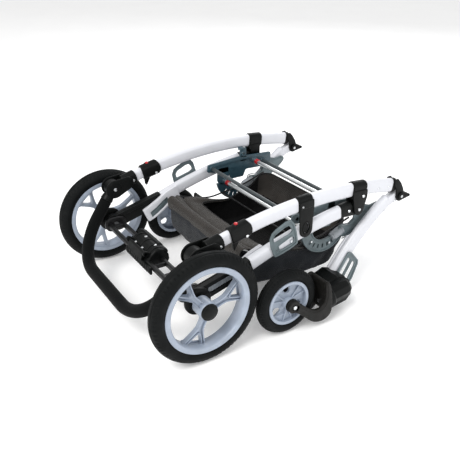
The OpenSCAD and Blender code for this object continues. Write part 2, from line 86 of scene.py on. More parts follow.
def stem_at(s, n):
    """A point in the side view, s along the swivel axis and n beside it."""
    return (STEM[0] + s * STEM_DIR[0] + n * STEM_SIDE[0], STEM[1] + s * STEM_DIR[1] + n * STEM_SIDE[1])


def stem_loop(places):
    return [stem_at(*p) for p in places]


# ---------------------------------------------------------------- materials


def srgb(r, g, b):
    """A colour as seen, turned into the linear numbers that the shader takes."""
    return tuple(c / 12.92 if c <= 0.04045 else ((c + 0.055) / 1.055) ** 2.4 for c in (r, g, b)) + (1,)


class Look:
    """A node material with a principled shader, in the frame's own coordinates."""

    def __init__(self, name, rough, metal=0.0, **sockets):
        self.mat = bpy.data.materials.new(name)
        self.mat.use_nodes = True
        self.tree = self.mat.node_tree
        self.shader = self.tree.nodes["Principled BSDF"]
        self.shader.inputs["Metallic"].default_value = metal
        self.shader.inputs["Roughness"].default_value = rough
        for key, value in sockets.items():
            self.shader.inputs[key.replace("_", " ")].default_value = value
        self.place = self.tree.nodes.new("ShaderNodeTexCoord").outputs["Object"]
        self.height = None

    def node(self, kind, **values):
        n = self.tree.nodes.new(kind)
        for key, value in values.items():
            if key in n.inputs:
                n.inputs[key].default_value = value
            else:
                setattr(n, key, value)
        return n

    def link(self, a, b):
        self.tree.links.new(a, b)

    def noise(self, scale, detail=4.0, rough=0.55, stretch=None):
        n = self.node("ShaderNodeTexNoise", Scale=scale, Detail=detail, Roughness=rough)
        if stretch:
            m = self.node("ShaderNodeMapping")
            m.inputs["Scale"].default_value = stretch
            self.link(self.place, m.inputs["Vector"])
            self.link(m.outputs["Vector"], n.inputs["Vector"])
        else:
            self.link(self.place, n.inputs["Vector"])
        return n.outputs["Fac"]

    def ramp(self, fac, *stops):
        r = self.node("ShaderNodeValToRGB")
        el = r.color_ramp.elements
        while len(el) < len(stops):
            el.new(0.5)
        for e, (at, colour) in zip(el, stops):
            e.position = at
            e.color = colour if len(colour) == 4 else (*colour, 1)
        self.link(fac, r.inputs["Fac"])
        return r.outputs["Color"]

    def span(self, fac, low, high, at=(0.3, 0.7)):
        m = self.node("ShaderNodeMapRange")
        m.inputs["From Min"].default_value, m.inputs["From Max"].default_value = at
        m.inputs["To Min"].default_value, m.inputs["To Max"].default_value = low, high
        self.link(fac, m.inputs["Value"])
        return m.outputs["Result"]

    def bump(self, height, strength, distance):
        b = self.node("ShaderNodeBump", Strength=strength, Distance=distance)
        self.link(height, b.inputs["Height"])
        if self.height:
            self.link(self.height, b.inputs["Normal"])
        self.height = b.outputs["Normal"]
        self.link(self.height, self.shader.inputs["Normal"])

    def colour(self, socket):
        self.link(socket, self.shader.inputs["Base Color"])

    def roughness(self, socket):
        self.link(socket, self.shader.inputs["Roughness"])


def shade(c, k):
    return tuple(min(1.0, v * k) for v in c[:3]) + (1,)


def paint(name, colour, rough, coat):
    """Powder coat: an even colour with a fine orange-peel skin and faint handling marks."""
    k = Look(name, rough, Coat_Weight=coat, Coat_Roughness=0.18, Specular_IOR_Level=0.4)
    k.colour(k.ramp(k.noise(22, 5), (0.3, shade(colour, 0.965)), (0.7, colour)))
    k.roughness(k.span(k.noise(70, 6), rough - 0.05, rough + 0.09))
    k.bump(k.noise(900, 2), 0.16, 0.0003)
    k.bump(k.noise(55, 6, stretch=(1, 6, 6)), 0.05, 0.0004)
    return k.mat


def plastic(name, colour, rough, grain=1500, depth=0.28, fade=0.8, coat=0.0, shine=0.5):
    """Moulded plastic with a fine spark-eroded grain, faint flow marks and rubbed patches."""
    k = Look(name, rough, Coat_Weight=coat, Coat_Roughness=0.3, Specular_IOR_Level=shine)
    k.colour(k.ramp(k.noise(38, 6), (0.28, shade(colour, fade)), (0.52, colour), (0.8, shade(colour, 1.22))))
    k.roughness(k.span(k.noise(60, 6), rough - 0.07, rough + 0.12))
    k.bump(k.noise(grain, 2), depth, 0.0003)
    k.bump(k.noise(45, 4), 0.07, 0.0012)
    return k.mat


def metal(name, colour, rough, stretch=None, coat=0.0):
    """Bare or plated metal with fine draw marks along the part."""
    k = Look(name, rough, 1.0, Coat_Weight=coat)
    k.colour(k.ramp(k.noise(30, 5), (0.3, shade(colour, 0.86)), (0.7, colour)))
    k.roughness(k.span(k.noise(90, 6, stretch=stretch), rough * 0.7, rough * 1.5))
    k.bump(k.noise(300, 4, stretch=stretch), 0.05, 0.0002)
    return k.mat


def tyre_rubber(name):
    k = Look(name, 0.66, Specular_IOR_Level=0.14)
    base, dust = srgb(0.03, 0.04, 0.043), srgb(0.062, 0.072, 0.07)
    k.colour(k.ramp(k.noise(16, 7, 0.65), (0.35, shade(base, 0.85)), (0.6, base), (0.82, dust)))
    k.roughness(k.span(k.noise(40, 6), 0.52, 0.74))
    k.bump(k.noise(1100, 3), 0.35, 0.0003)
    k.bump(k.noise(140, 5), 0.12, 0.0005)
    return k.mat


def foam(name):
    k = Look(name, 0.88, Sheen_Weight=0.04, Sheen_Roughness=0.5, Specular_IOR_Level=0.12)
    base = srgb(0.018, 0.024, 0.026)
    cells = k.node("ShaderNodeTexVoronoi", Scale=900.0)
    k.link(k.place, cells.inputs["Vector"])
    k.colour(k.ramp(k.noise(60, 6), (0.3, shade(base, 0.75)), (0.75, shade(base, 1.25))))
    k.bump(cells.outputs["Distance"], 0.45, 0.0006)
    k.bump(k.noise(120, 5), 0.2, 0.0008)
    return k.mat


def cloth(name, colour, scale=520.0, sheen=0.25):
    """Plain-woven polyester: two crossing sets of threads, with slubs and soft wear."""
    k = Look(name, 0.88, Sheen_Weight=sheen, Sheen_Roughness=0.45, Specular_IOR_Level=0.15)
    k.colour(
        k.ramp(k.noise(24, 7, 0.6), (0.28, shade(colour, 0.72)), (0.55, colour), (0.8, shade(colour, 1.25)))
    )
    heights = []
    for turn in ((0.55, 0.35, 0.75), (-0.45, 0.8, 0.3)):
        wave = k.node("ShaderNodeTexWave", Scale=scale, Distortion=1.2, Detail=2.0)
        wave.bands_direction = "X"
        m = k.node("ShaderNodeMapping")
        m.inputs["Rotation"].default_value = turn
        k.link(k.place, m.inputs["Vector"])
        k.link(m.outputs["Vector"], wave.inputs["Vector"])
        heights.append(wave.outputs["Fac"])
    both = k.node("ShaderNodeMath", operation="MAXIMUM")
    k.link(heights[0], both.inputs[0])
    k.link(heights[1], both.inputs[1])
    k.bump(both.outputs[0], 0.5, 0.0005)
    k.bump(k.noise(70, 6), 0.3, 0.0012)
    k.roughness(k.span(k.noise(50, 5), 0.8, 0.95))
    return k.mat


WHITE = paint("white powder coat", srgb(0.845, 0.85, 0.872), 0.36, 0.3)
BLACK = plastic("black plastic", srgb(0.028, 0.036, 0.035), 0.42, shine=0.17)
BLACK_SOFT = plastic("black fork plastic", srgb(0.085, 0.082, 0.075), 0.5, shine=0.22)
BEAM = paint("black beam paint", srgb(0.03, 0.03, 0.036), 0.42, 0.03)
TYRE = tyre_rubber("tyre rubber")
RIM = plastic("rim plastic", srgb(0.60, 0.64, 0.70), 0.36, grain=1200, depth=0.14, fade=0.93, coat=0.3)
STEEL = metal("steel", srgb(0.78, 0.79, 0.80), 0.3)
CHROME = metal("chrome", srgb(0.96, 0.97, 0.97), 0.32, stretch=(0.06, 1, 1))
DARK_BAR = paint("dark bar paint", srgb(0.22, 0.25, 0.26), 0.36, 0.3)
BRACKET = plastic("bracket plastic", srgb(0.375, 0.425, 0.44), 0.45)
# Darker, bluer copy of the bracket plastic: painted shade for the far (left) seat bracket.
BRACKET_FAR_SHADE = plastic("dark bracket plastic", srgb(0.16, 0.265, 0.31), 0.38, coat=0.25)
GREY = plastic("grey plastic", srgb(0.55, 0.57, 0.59), 0.42)
RED = plastic("red plastic", srgb(0.70, 0.06, 0.10), 0.3, coat=0.4)
FOAM = foam("foam grip")
CLOTH = cloth("charcoal cloth", srgb(0.215, 0.203, 0.192), sheen=0.12)
# Near-black copy of the charcoal cloth: painted shade for the inside of the basket and the underside of its
# rear band.
CLOTH_PAINTED_SHADE = cloth("dark lining cloth", srgb(0.045, 0.045, 0.048), sheen=0.04)
# Darker, cooler copy of the charcoal cloth: painted shade on the basket's outer walls.
CLOTH_SIDE_SHADE = cloth("dark side cloth", srgb(0.155, 0.165, 0.18), sheen=0.08)
BINDING = cloth("binding tape", srgb(0.05, 0.05, 0.055), 900.0)
SCREW = metal("zinc screw", srgb(0.90, 0.91, 0.92), 0.28)

# ---------------------------------------------------------------- mesh building


def piece(name, verts, faces, mat, body, slot, nodes, angle=35.0):
    """Makes a shaded mesh object that moves with a body."""
    me = bpy.data.meshes.new(name)
    me.from_pydata([tuple(v) for v in verts], [], faces)
    bm = bmesh.new()
    bm.from_mesh(me)
    bmesh.ops.remove_doubles(bm, verts=bm.verts, dist=1e-6)
    bmesh.ops.dissolve_degenerate(bm, edges=bm.edges, dist=1e-7)
    bmesh.ops.recalc_face_normals(bm, faces=bm.faces)
    bm.to_mesh(me)
    bm.free()
    me.shade_smooth()
    me.set_sharp_from_angle(angle=math.radians(angle))
    ob = bpy.data.objects.new(name, me)
    scene.collection.objects.link(ob)
    ob.data.materials.append(mat)
    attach(ob, body)
    if nodes:
        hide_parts(*nodes)
    return ob


class Shape:
    """Collects vertices and faces of one piece; all but the cloth is made of closed surfaces."""

    def __init__(self):
        self.v = []
        self.f = []

    def add(self, verts, faces):
        n = len(self.v)
        self.v += verts
        self.f += [tuple(i + n for i in f) for f in faces]
        return self

    def made(self, name, mat, body, slot, *nodes, **look):
        """Makes the piece; nodes are the CAD nodes that it stands for."""
        return piece(name, self.v, self.f, mat, body, slot, nodes, **look)

    def mirrored(self):
        other = Shape()
        other.v = [Vector((-p[0], p[1], p[2])) for p in self.v]
        other.f = [tuple(reversed(f)) for f in self.f]
        return other

    def grid(self, rings, closed=True, ends=True):
        """Rings of points joined into a skin; closed wraps round each ring, ends caps both ends."""
        n, verts, faces = len(rings[0]), [p for r in rings for p in r], []
        for i in range(len(rings) - 1):
            for j in range(n if closed else n - 1):
                a, b = i * n + j, i * n + (j + 1) % n
                faces.append((a, b, b + n, a + n))
        if ends:
            faces.append(tuple(range(n)))
            faces.append(tuple(range((len(rings) - 1) * n, len(rings) * n))[::-1])
        return self.add(verts, faces)

    def ring(self, rings):
        """Rings joined into a closed loop, such as a tyre."""
        n, m = len(rings[0]), len(rings)
        faces = []
        for i in range(m):
            for j in range(n):
                k, l = (i + 1) % m, (j + 1) % n
                faces.append((i * n + j, i * n + l, k * n + l, k * n + j))
        return self.add([p for r in rings for p in r], faces)

    def plate(self, outline, x0, x1, holes=(), bevel=0.8, steps=3, fillet=0.0, slope=None):
        """A moulded plate drawn in the side view, with rounded edges. slope shifts it sideways by
        a function of the place in the side view."""
        loops = [outline if area(outline) > 0 else outline[::-1]]
        loops += [h if area(h) < 0 else h[::-1] for h in holes]
        if fillet:
            loops = [rounded(l, fillet) for l in loops]
        stations = []
        for k in range(steps + 1):
            t = math.pi / 2 * k / steps
            stations.append((bevel * (1 - math.sin(t)), x0 + bevel * (1 - math.cos(t))))
        stations += [(d, x0 + x1 - x) for d, x in reversed(stations)]
        verts, faces = [], []
        counts = [len(l) for l in loops]
        for d, x in stations:
            for l in loops:
                for y, z in inset(l, d):
                    dx = slope(y, z) if slope else 0.0
                    verts.append(mm(x + dx, y, z))
        total = sum(counts)
        for s in range(len(stations) - 1):
            start = 0
            for n in counts:
                for j in range(n):
                    a, b = s * total + start + j, s * total + start + (j + 1) % n
                    faces.append((a, b, b + total, a + total))
                start += n
        flat = [[Vector((p[0], p[1], 0)) for p in inset(l, bevel)] for l in loops]
        for tri in tessellate_polygon(flat):
            faces.append(tuple(tri))
            faces.append(tuple(i + (len(stations) - 1) * total for i in reversed(tri)))
        return self.add(verts, faces)

    def lathe(self, profile, matrix, n=48, closed=False):
        """Turns a profile of (distance along, radius) about the matrix's Z axis, in millimetres."""
        rings = []
        for k in range(n):
            a = 2 * math.pi * k / n
            rings.append(
                [matrix @ (Vector((r * math.cos(a), r * math.sin(a), s)) * MM) for s, r in profile]
            )
        m = len(profile)
        faces = []
        for i in range(n):
            k = (i + 1) % n
            for j in range(m if closed else m - 1):
                l = (j + 1) % m
                faces.append((i * m + j, i * m + l, k * m + l, k * m + j))
        if not closed:
            if profile[0][1] > 1e-6:
                faces.append(tuple(i * m for i in range(n))[::-1])
            if profile[-1][1] > 1e-6:
                faces.append(tuple(i * m + m - 1 for i in range(n)))
        return self.add([p for r in rings for p in r], faces)

    def sweep(self, path, radius, sides=16, cap=0.5):
        """A round rod along a path in metres, with softly rounded ends."""
        rings = []
        tangents = directions(path)
        up = Vector((0, 0, 1)) if abs(tangents[0].z) < 0.9 else Vector((1, 0, 0))
        side = tangents[0].cross(up).normalized()
        for p, t in zip(path, tangents):
            side = (side - t * side.dot(t)).normalized()
            other = t.cross(side)
            r = radius(p) if callable(radius) else radius
            rings.append(
                [p + (side * math.cos(a) + other * math.sin(a)) * r * MM for a in angles(sides)]
            )
        for end, t in ((0, -1), (-1, 1)):
            base, centre = rings[end], path[end]
            extra = []
            for k in (0.5, 0.87):
                shift = tangents[end] * t * (radius(centre) if callable(radius) else radius) * MM * cap * k
                extra.append([centre + (q - centre) * math.sqrt(max(0.05, 1 - k * k)) + shift for q in base])
            rings = extra[::-1] + rings if end == 0 else rings + extra
        return self.grid(rings)

    def oval_tube(self, c, r, a0, a1, h, w, x=FRAME_X, steps=40, cap=1.5, wall=0.0):
        """An oval tube bent about a centre in the side view, its ends rounded over by cap."""
        turn = math.degrees(cap / r)
        stations = []
        for k in range(4):
            t = math.pi / 2 * k / 3
            stations.append((a0 + turn * (1 - math.cos(t)), cap * (1 - math.sin(t))))
        middle = [(a0 + turn + (a1 - a0 - 2 * turn) * k / steps, 0.0) for k in range(1, steps)]
        stations += middle + [(a0 + a1 - a, d) for a, d in reversed(stations)]
        rings = [
            [mm(x + b, *polar(c, r + s, a)) for s, b in oval(h - 2 * d, w - 2 * d)] for a, d in stations
        ]
        if wall:
            deep = math.degrees(14.0 / r)
            for a in (a1, a1 - deep):
                rings.append([mm(x + b, *polar(c, r + s, a)) for s, b in oval(h - 2 * wall, w - 2 * wall)])
        return self.grid(rings)


def angles(n):
    return [2 * math.pi * k / n for k in range(n)]


def area(loop):
    return 0.5 * sum(
        loop[i][0] * loop[(i + 1) % len(loop)][1] - loop[(i + 1) % len(loop)][0] * loop[i][1]
        for i in range(len(loop))
    )


def inset(loop, d):
    """Moves a loop into the material on its left by d, with mitred corners."""
    if d == 0:
        return list(loop)
    out, n = [], len(loop)
    for i in range(n):
        p0, p1, p2 = (Vector(loop[(i + k) % n]) for k in (-1, 0, 1))
        e0, e1 = (p1 - p0).normalized(), (p2 - p1).normalized()
        n0, n1 = Vector((-e0.y, e0.x)), Vector((-e1.y, e1.x))
        m = n0 + n1
        if m.length < 1e-6:
            out.append(tuple(p1 + n0 * d))
            continue
        m.normalize()
        out.append(tuple(p1 + m * d / max(0.35, m.dot(n0))))
    return out


def rounded(loop, r, steps=5):
    """Rounds the corners of a loop, each by up to r or what its sides leave room for."""
    out, n = [], len(loop)
    for i in range(n):
        p0, p1, p2 = (Vector(loop[(i + k) % n]) for k in (-1, 0, 1))
        a, b = p0 - p1, p2 - p1
        half = 0.5 * a.angle(b) if a.length > 1e-6 and b.length > 1e-6 else math.pi / 2
        cut = min(r / max(0.05, math.tan(half)), 0.46 * a.length, 0.46 * b.length)
        if math.pi / 2 - half < 0.03 or cut < 0.05:
            out.append(tuple(p1))
            continue
        q0, q1 = p1 + a.normalized() * cut, p1 + b.normalized() * cut
        for k in range(steps + 1):
            t = k / steps
            out.append(tuple(q0 * (1 - t) ** 2 + p1 * 2 * t * (1 - t) + q1 * t * t))
    return out


def arc(c, r, a0, a1, n=12):
    return [polar(c, r, a0 + (a1 - a0) * k / n) for k in range(n + 1)]


def circle(c, r, n=32):
    return [polar(c, r, 360 * k / n) for k in range(n)]


def ellipse(c, across, up, n=32):
    return [(c[0] + across * math.cos(a), c[1] + up * math.sin(a)) for a in angles(n)]


def oval(h, w, n=40):
    """An oval section as (along, across): two half circles joined by flats."""
    out = []
    for k in range(n):
        a = 2 * math.pi * k / n
        s = (h - w) / 2 * (1 if math.cos(a) > 0 else -1) if abs(math.cos(a)) > 1e-6 else 0.0
        out.append((s + w / 2 * math.cos(a), w / 2 * math.sin(a)))
    return out


def hull(points):
    """Convex outline round a set of points."""
    pts = sorted(set((round(p[0], 4), round(p[1], 4)) for p in points))

    def cross(o, a, b):
        return (a[0] - o[0]) * (b[1] - o[1]) - (a[1] - o[1]) * (b[0] - o[0])

    def half(seq):
        out = []
        for p in seq:
            while len(out) >= 2 and cross(out[-2], out[-1], p) <= 0:
                out.pop()
            out.append(p)
        return out[:-1]

    return half(pts) + half(pts[::-1])


def stadium(p, q, r, n=12):
    """A bar with round ends between two places in the side view."""
    d = Vector(q) - Vector(p)
    a = math.degrees(math.atan2(d.y, d.x))
    return arc(q, r, a - 90, a + 90, n) + arc(p, r, a + 90, a + 270, n)


def directions(path):
    out = []
    for i in range(len(path)):
        a, b = path[max(0, i - 1)], path[min(len(path) - 1, i + 1)]
        out.append((b - a).normalized())
    return out


def smooth_path(points, n=12):
    """A Catmull-Rom curve through points in metres."""
    pts = [points[0] * 2 - points[1]] + list(points) + [points[-1] * 2 - points[-2]]
    out = []
    for i in range(1, len(pts) - 2):
        p0, p1, p2, p3 = pts[i - 1 : i + 3]
        for k in range(n):
            t = k / n
            out.append(
                0.5
                * (
                    2 * p1
                    + (p2 - p0) * t
                    + (2 * p0 - 5 * p1 + 4 * p2 - p3) * t * t
                    + (3 * p1 - p0 - 3 * p2 + p3) * t**3
                )
            )
    out.append(points[-1].copy())
    return out


def at(x, y, z, axis="X"):
    """A matrix that puts a turned part's own Z along an axis of the frame, from a place in mm."""
    turns = {
        "X": Matrix.Rotation(math.radians(90), 4, "Y"),
        "-X": Matrix.Rotation(math.radians(-90), 4, "Y"),
        "Y": Matrix.Rotation(math.radians(-90), 4, "X"),
        "Z": Matrix.Identity(4),
    }
    return Matrix.Translation(mm(x, y, z)) @ turns[axis]


def dome(r, h, skirt=0.8):
    """Profile of a domed head: a short skirt and a low round top."""
    out = [(0, r), (skirt, r)]
    for k in range(1, 7):
        t = math.pi / 2 * k / 6
        out.append((skirt + (h - skirt) * math.sin(t), r * math.cos(t) if k < 6 else 0.0))
    return out


def screw(shape, x, y, z, r=4.2, h=2.4, side=1, socket=True):
    """A round screw head on the outside of a side part, with a small socket."""
    m = at(x, y, z, "X" if side > 0 else "-X")
    prof = [(0, r), (0.7, r), (h * 0.8, r * 0.86), (h, r * 0.62)]
    prof += [(h, r * 0.42), (h - 1.0, r * 0.38), (h - 1.0, 0.0)] if socket else [(h * 1.08, 0.0)]
    shape.lathe(prof, m, 20)
    return shape


# ---------------------------------------------------------------- camera, floor and light

CAMERA_AT = mm(1294.7, -567.0, 913.2)
CAMERA_AIM = mm(0, 251.1, 144.8)
SENSOR_W = 36.0
FOCAL_OVER_WIDTH = 611.9 / 460
camera = bpy.data.objects.new("camera", bpy.data.cameras.new("camera"))
scene.collection.objects.link(camera)
camera.data.sensor_width = SENSOR_W
camera.data.lens = SENSOR_W * FOCAL_OVER_WIDTH
camera.location = CAMERA_AT
camera.rotation_euler = (CAMERA_AIM - CAMERA_AT).to_track_quat("-Z", "Y").to_euler()
scene.camera = camera

floor_mat = Look("floor", 0.9)
floor_mat.colour(floor_mat.ramp(floor_mat.noise(3, 3), (0.3, srgb(0.97, 0.97, 0.97)),
                                (0.7, srgb(0.985, 0.985, 0.985))))
floor_mat.shader.inputs["Emission Color"].default_value = (1, 1, 1, 1)
floor_mat.shader.inputs["Emission Strength"].default_value = 0.15
FLOOR = 14
floor_mesh = bpy.data.meshes.new("floor")
floor_corners = [(-FLOOR, -FLOOR, 0), (FLOOR, -FLOOR, 0), (FLOOR, FLOOR, 0), (-FLOOR, FLOOR, 0)]
floor_mesh.from_pydata(floor_corners, [], [(0, 1, 2, 3)])
floor = bpy.data.objects.new("floor", floor_mesh)
scene.collection.objects.link(floor)
floor_mesh.materials.append(floor_mat.mat)


def light(name, place, aim, size, power, colour=(1, 1, 1)):
    data = bpy.data.lights.new(name, "AREA")
    data.shape = "RECTANGLE"
    data.size, data.size_y = size
    data.energy = power
    data.color = colour
    ob = bpy.data.objects.new(name, data)
    scene.collection.objects.link(ob)
    ob.location = place
    ob.rotation_euler = (Vector(aim) - Vector(place)).to_track_quat("-Z", "Y").to_euler()


light("key", (1.0, -2.4, 3.2), (0, 0, 0.1), (1.8, 1.8), 110, (1.0, 0.99, 0.97))
light("fill", (3.2, 1.0, 1.6), (0, 0, 0.1), (2.0, 2.0), 22, (0.96, 0.98, 1.0))
light("back", (-2.2, 2.6, 2.6), (0, 0, 0.1), (2.4, 1.6), 50, (0.97, 0.98, 1.0))
world = bpy.data.worlds.new("studio")
scene.world = world
world.use_nodes = True
world.node_tree.nodes["Background"].inputs["Color"].default_value = (1, 1, 1, 1)
world.node_tree.nodes["Background"].inputs["Strength"].default_value = 0.72
scene.view_settings.view_transform = "Standard"

SIDES = ("right", "left")


def one_side(side, shape, name, mat, body, slot, node=None, **look):
    """Makes one side's piece from the right-hand shape; it stands for that side's own node."""
    own = shape if side == "right" else shape.mirrored()
    stands_for = [f"{node}_{side}"] if node else []
    return own.made(f"{name}_{side}", mat, body, slot, *stands_for, **look)


def both(shape):
    """One shape with its mirror image added."""
    other = shape.mirrored()
    return shape.add(other.v, other.f)


# ---------------------------------------------------------------- rear wheels


def tyre_shape(cx, cy, cz, r, w, bead, blocks, rib):
    """A tyre with two grooves round the crown and sipes across both shoulders."""
    section, rings = [], []
    half = w / 2
    start = math.acos(max(-1.0, min(1.0, (bead - (r - half)) / half)))
    n_across = 44
    for k in range(n_across + 1):
        section.append(-start + 2 * start * k / n_across)
    n = blocks * 8
    for i in range(n):
        phi = 2 * math.pi * i / n
        ring = []
        for a in section:
            across = half * math.sin(a)
            rr = half
            for g in (-rib, rib):
                rr -= 1.5 * max(0.0, 1 - ((across - g) / 1.3) ** 2)
            on_shoulder = max(0.0, 1 - ((abs(math.degrees(a)) - 47) / 15) ** 2)
            phase = (i / 8 + 0.35 * abs(across) / half) % 1.0
            rr -= 1.8 * on_shoulder**0.5 * max(0.0, 1 - abs(phase - 0.5) / 0.18)
            rr += 0.5 * math.exp(-(((abs(math.degrees(a)) - 84) / 5) ** 2))
            rr += 0.3 * math.exp(-(((abs(math.degrees(a)) - 98) / 3) ** 2))
            radial = r - half + rr * math.cos(a)
            ring.append(mm(cx + rr * math.sin(a), cy + radial * math.cos(phi), cz + radial * math.sin(phi)))
        rings.append(ring)
    return Shape().ring(rings)


def y_spoke():
    """Outline of a spoke that divides into two arms, along the first axis."""
    half = [(14, -9.0), (34, -7.2), (49, -7.7), (60, -11.8), (76, -20.0), (94.4, -30.5), (97.6, -21.6)]
    half += [(80, -12.0), (69, -5.6), (62.0, 0)]
    return half + [(u, -v) for u, v in reversed(half[:-1])]


def turned(loop, a, c):
    ca, sa = math.cos(math.radians(a)), math.sin(math.radians(a))
    return [(c[0] + u * ca - v * sa, c[1] + u * sa + v * ca) for u, v in loop]


def rear_rim_shape():
    s = Shape()
    hub = at(REAR_X, 0, HUB_Z)
    ring = [(18.2, 96.2), (19.0, 97.2), (19.2, 101.0), (18.6, 105.5), (19.2, 107.6), (18.6, 108.9),
            (16.8, 109.2)]
    ring += [(15.2, 108.4), (13.5, 105.2), (-13.5, 105.2), (-15.2, 108.4), (-16.8, 109.2), (-18.4, 108.8)]
    ring += [(-18.8, 105.5), (-18.4, 98.5), (-17.0, 97.0), (-8, 95.6), (2, 94.6), (10, 94.1), (15.5, 94.6)]
    s.lathe(ring, hub, 144, closed=True)
    s.lathe([(-22, 15), (-22, 20), (-20, 22), (4, 22.6), (12, 22), (16.5, 21), (18, 20), (18, 0)], hub, 72)

    def deep(y, z):
        k = (math.hypot(y, z - HUB_Z) - 20) / 75
        return -11.0 * max(0.0, min(1.0, k)) ** 1.2

    for a in (11, 131, 251):
        outline = rounded(turned(y_spoke(), a, (0, HUB_Z)), 4.0, 6)
        s.plate(outline, REAR_X - 2, REAR_X + 6.5, bevel=1.0, slope=deep)
        s.plate(outline, REAR_X + 5.5, REAR_X + 12.5, holes=[inset(outline, 2.7)], bevel=0.9, slope=deep)
        ends = [(88, -27.5), (101, -35.5), (101, 35.5), (88, 27.5), (91.5, 20.5), (92.6, 0), (91.5, -20.5)]
        s.plate(turned(ends, a, (0, HUB_Z)), REAR_X - 15.5, REAR_X - 11.5, bevel=0.8, fillet=2.5)
    return s


def hub_cap_shape():
    hub = at(REAR_X + 18, 0, HUB_Z)
    prof = [(0.2, 20.6), (3.4, 20.8), (5.2, 20.1), (5.8, 18.9), (5.6, 18.0), (6.4, 17.2), (8.2, 14.4)]
    prof += [(9.4, 10.5), (10.1, 6.0), (10.4, 0.0)]
    return Shape().lathe(prof, hub, 72)


def drum_shape():
    s = Shape()
    m = at(252, 0, HUB_Z)
    prof = [(0, 8), (0, 30), (1.2, 33.2), (3.5, 34), (9, 34), (10.5, 33), (11.2, 30.5), (12.2, 24),
            (17.4, 23.2), (17.8, 8)]
    s.lathe(prof, m, 72)
    s.plate([(0, HUB_Z + 13), (-26, HUB_Z + 36), (-42, HUB_Z + 30), (-44, HUB_Z + 16), (-12, HUB_Z - 13)],
            252.5, 260,
            bevel=1.2, fillet=8)
    for a in range(0, 360, 45):
        y, z = polar((0, HUB_Z), 27.5, a)
        s.lathe([(-0.8, 2.0), (1, 2.0)], at(262.5, y, z), 12)
    return s


rear_tyre = tyre_shape(REAR_X, 0, HUB_Z, r=140, w=40, bead=108.2, blocks=72, rib=6.5)
rear_rim = rear_rim_shape()
cap_shape = hub_cap_shape()
for side in SIDES:
    body = f"rear_wheel_{side}"
    one_side(side, rear_tyre, "tread_rear", TYRE, body, "tyre_rubber", "rear_tyre", angle=50)
    one_side(side, rear_rim, "spoked_rim", RIM, body, "rim_plastic", "rear_rim", angle=32)
    one_side(side, cap_shape, "domed_cap", BLACK, body, "black_plastic", "hub_cap")
both(drum_shape()).made("brake_drums", BLACK, "rear_axle", "black_plastic", "wheel_drums")

# ---------------------------------------------------------------- rear axle


PEDAL = (-24.0, HUB_Z + 25)


def beam_shape():
    s = Shape()
    section = [(14, -6.5), (23, -6.5), (24.8, -3), (24.8, 4), (22, 7), (14, 7)]
    for way in (-1, 1):
        bar = [(way * y, HUB_Z + z) for y, z in section]
        s.plate(bar, -217, 217, bevel=1.4, fillet=2.5)
    for x0, x1 in ((-222, -213), (213, 222)):
        loop = arc((12, HUB_Z), 20, -90, 90) + arc((-12, HUB_Z), 20, 90, 270)
        s.plate(loop, x0, x1, bevel=1.6)
    for x, w in ((-92, 16), (60, 10), (118, 12), (176, 38), (-213, 22)):
        web = [(-16, HUB_Z - 5.5), (16, HUB_Z - 5.5), (16, HUB_Z + 5.5), (-16, HUB_Z + 5.5)]
        s.plate(web, x, x + w, bevel=1.4)
    return s


def housing_shape():
    s = Shape()
    body = [(-24, -4), (-23, -14), (-14, -17), (22, -18), (34, -13), (40, -2), (38, 12), (26, 27), (12, 33)]
    body += [(0, 31), (-12, 22), (-22, 8)]
    loop = [(y, HUB_Z + z) for y, z in body]
    s.plate(loop, -76, 44, bevel=5, steps=5, fillet=7)
    rib = [(y * 1.02, HUB_Z + z * 1.05 + 0.4) for y, z in body]
    for x in (-64, -22, 12, 30):
        s.plate(rib, x, x + 3.4, bevel=1.2, fillet=7)
    for x in (-70, 30):
        s.plate(stadium((-8, HUB_Z + 14), PEDAL, 7.2), x, x + 8, bevel=1.4)
    ridge = [(14, HUB_Z + 24), (24, HUB_Z + 29), (37, HUB_Z + 23.5), (41, HUB_Z + 15), (36, HUB_Z + 9),
             (24, HUB_Z + 14)]
    s.plate(ridge, -102, 36, bevel=2.4, steps=4, fillet=4)
    s.plate([(y * 0.9 + 3, z + 3) for y, z in ridge], -88, 10, bevel=1.4, fillet=3)
    return s


def pedal_shape():
    s = Shape()
    s.lathe([(0, 0), (0, 3.6), (0.6, 4.0), (107.4, 4.0), (108, 3.6), (108, 0)], at(-70, *PEDAL), 24)
    s.plate(stadium(PEDAL, (-30, HUB_Z + 2), 4.4), -57, 25, bevel=1.6)
    pad = [(-25.4, HUB_Z - 14), (-25.4, HUB_Z + 5), (-33, HUB_Z + 7), (-35.5, HUB_Z - 5), (-31, HUB_Z - 15)]
    s.plate(pad, -70, 76, bevel=2.6, steps=4, fillet=2.5)
    for k in range(12):
        x = -62 + 10.6 * k
        s.plate([(-31, HUB_Z + 6.5), (-34, HUB_Z + 7), (-36.6, HUB_Z - 5), (-33, HUB_Z - 14)], x, x + 4,
                bevel=0.9,
                fillet=1.5)
    return s


beam_shape().made("axle_rails", BEAM, "rear_axle", "black_beam", "axle_beam")
housing_shape().made("ribbed_housing", BLACK, "rear_axle", "black_plastic", "brake_housing")
pedal_shape().made("ribbed_pedal", BLACK, "brake_pedal", "black_plastic", "brake_pedal")
fasteners = Shape()
for x, y, z in ((-40, 13, 32.6), (16, 13, 32.6), (-8, -13, 21.5), (-48, -13, 21.5)):
    fasteners.lathe(dome(4.0, 2.2), at(x, y, HUB_Z + z - 0.6, "Z"), 20)
fasteners.made("housing_screws", SCREW, "rear_axle", "steel")

# ---------------------------------------------------------------- side tubes


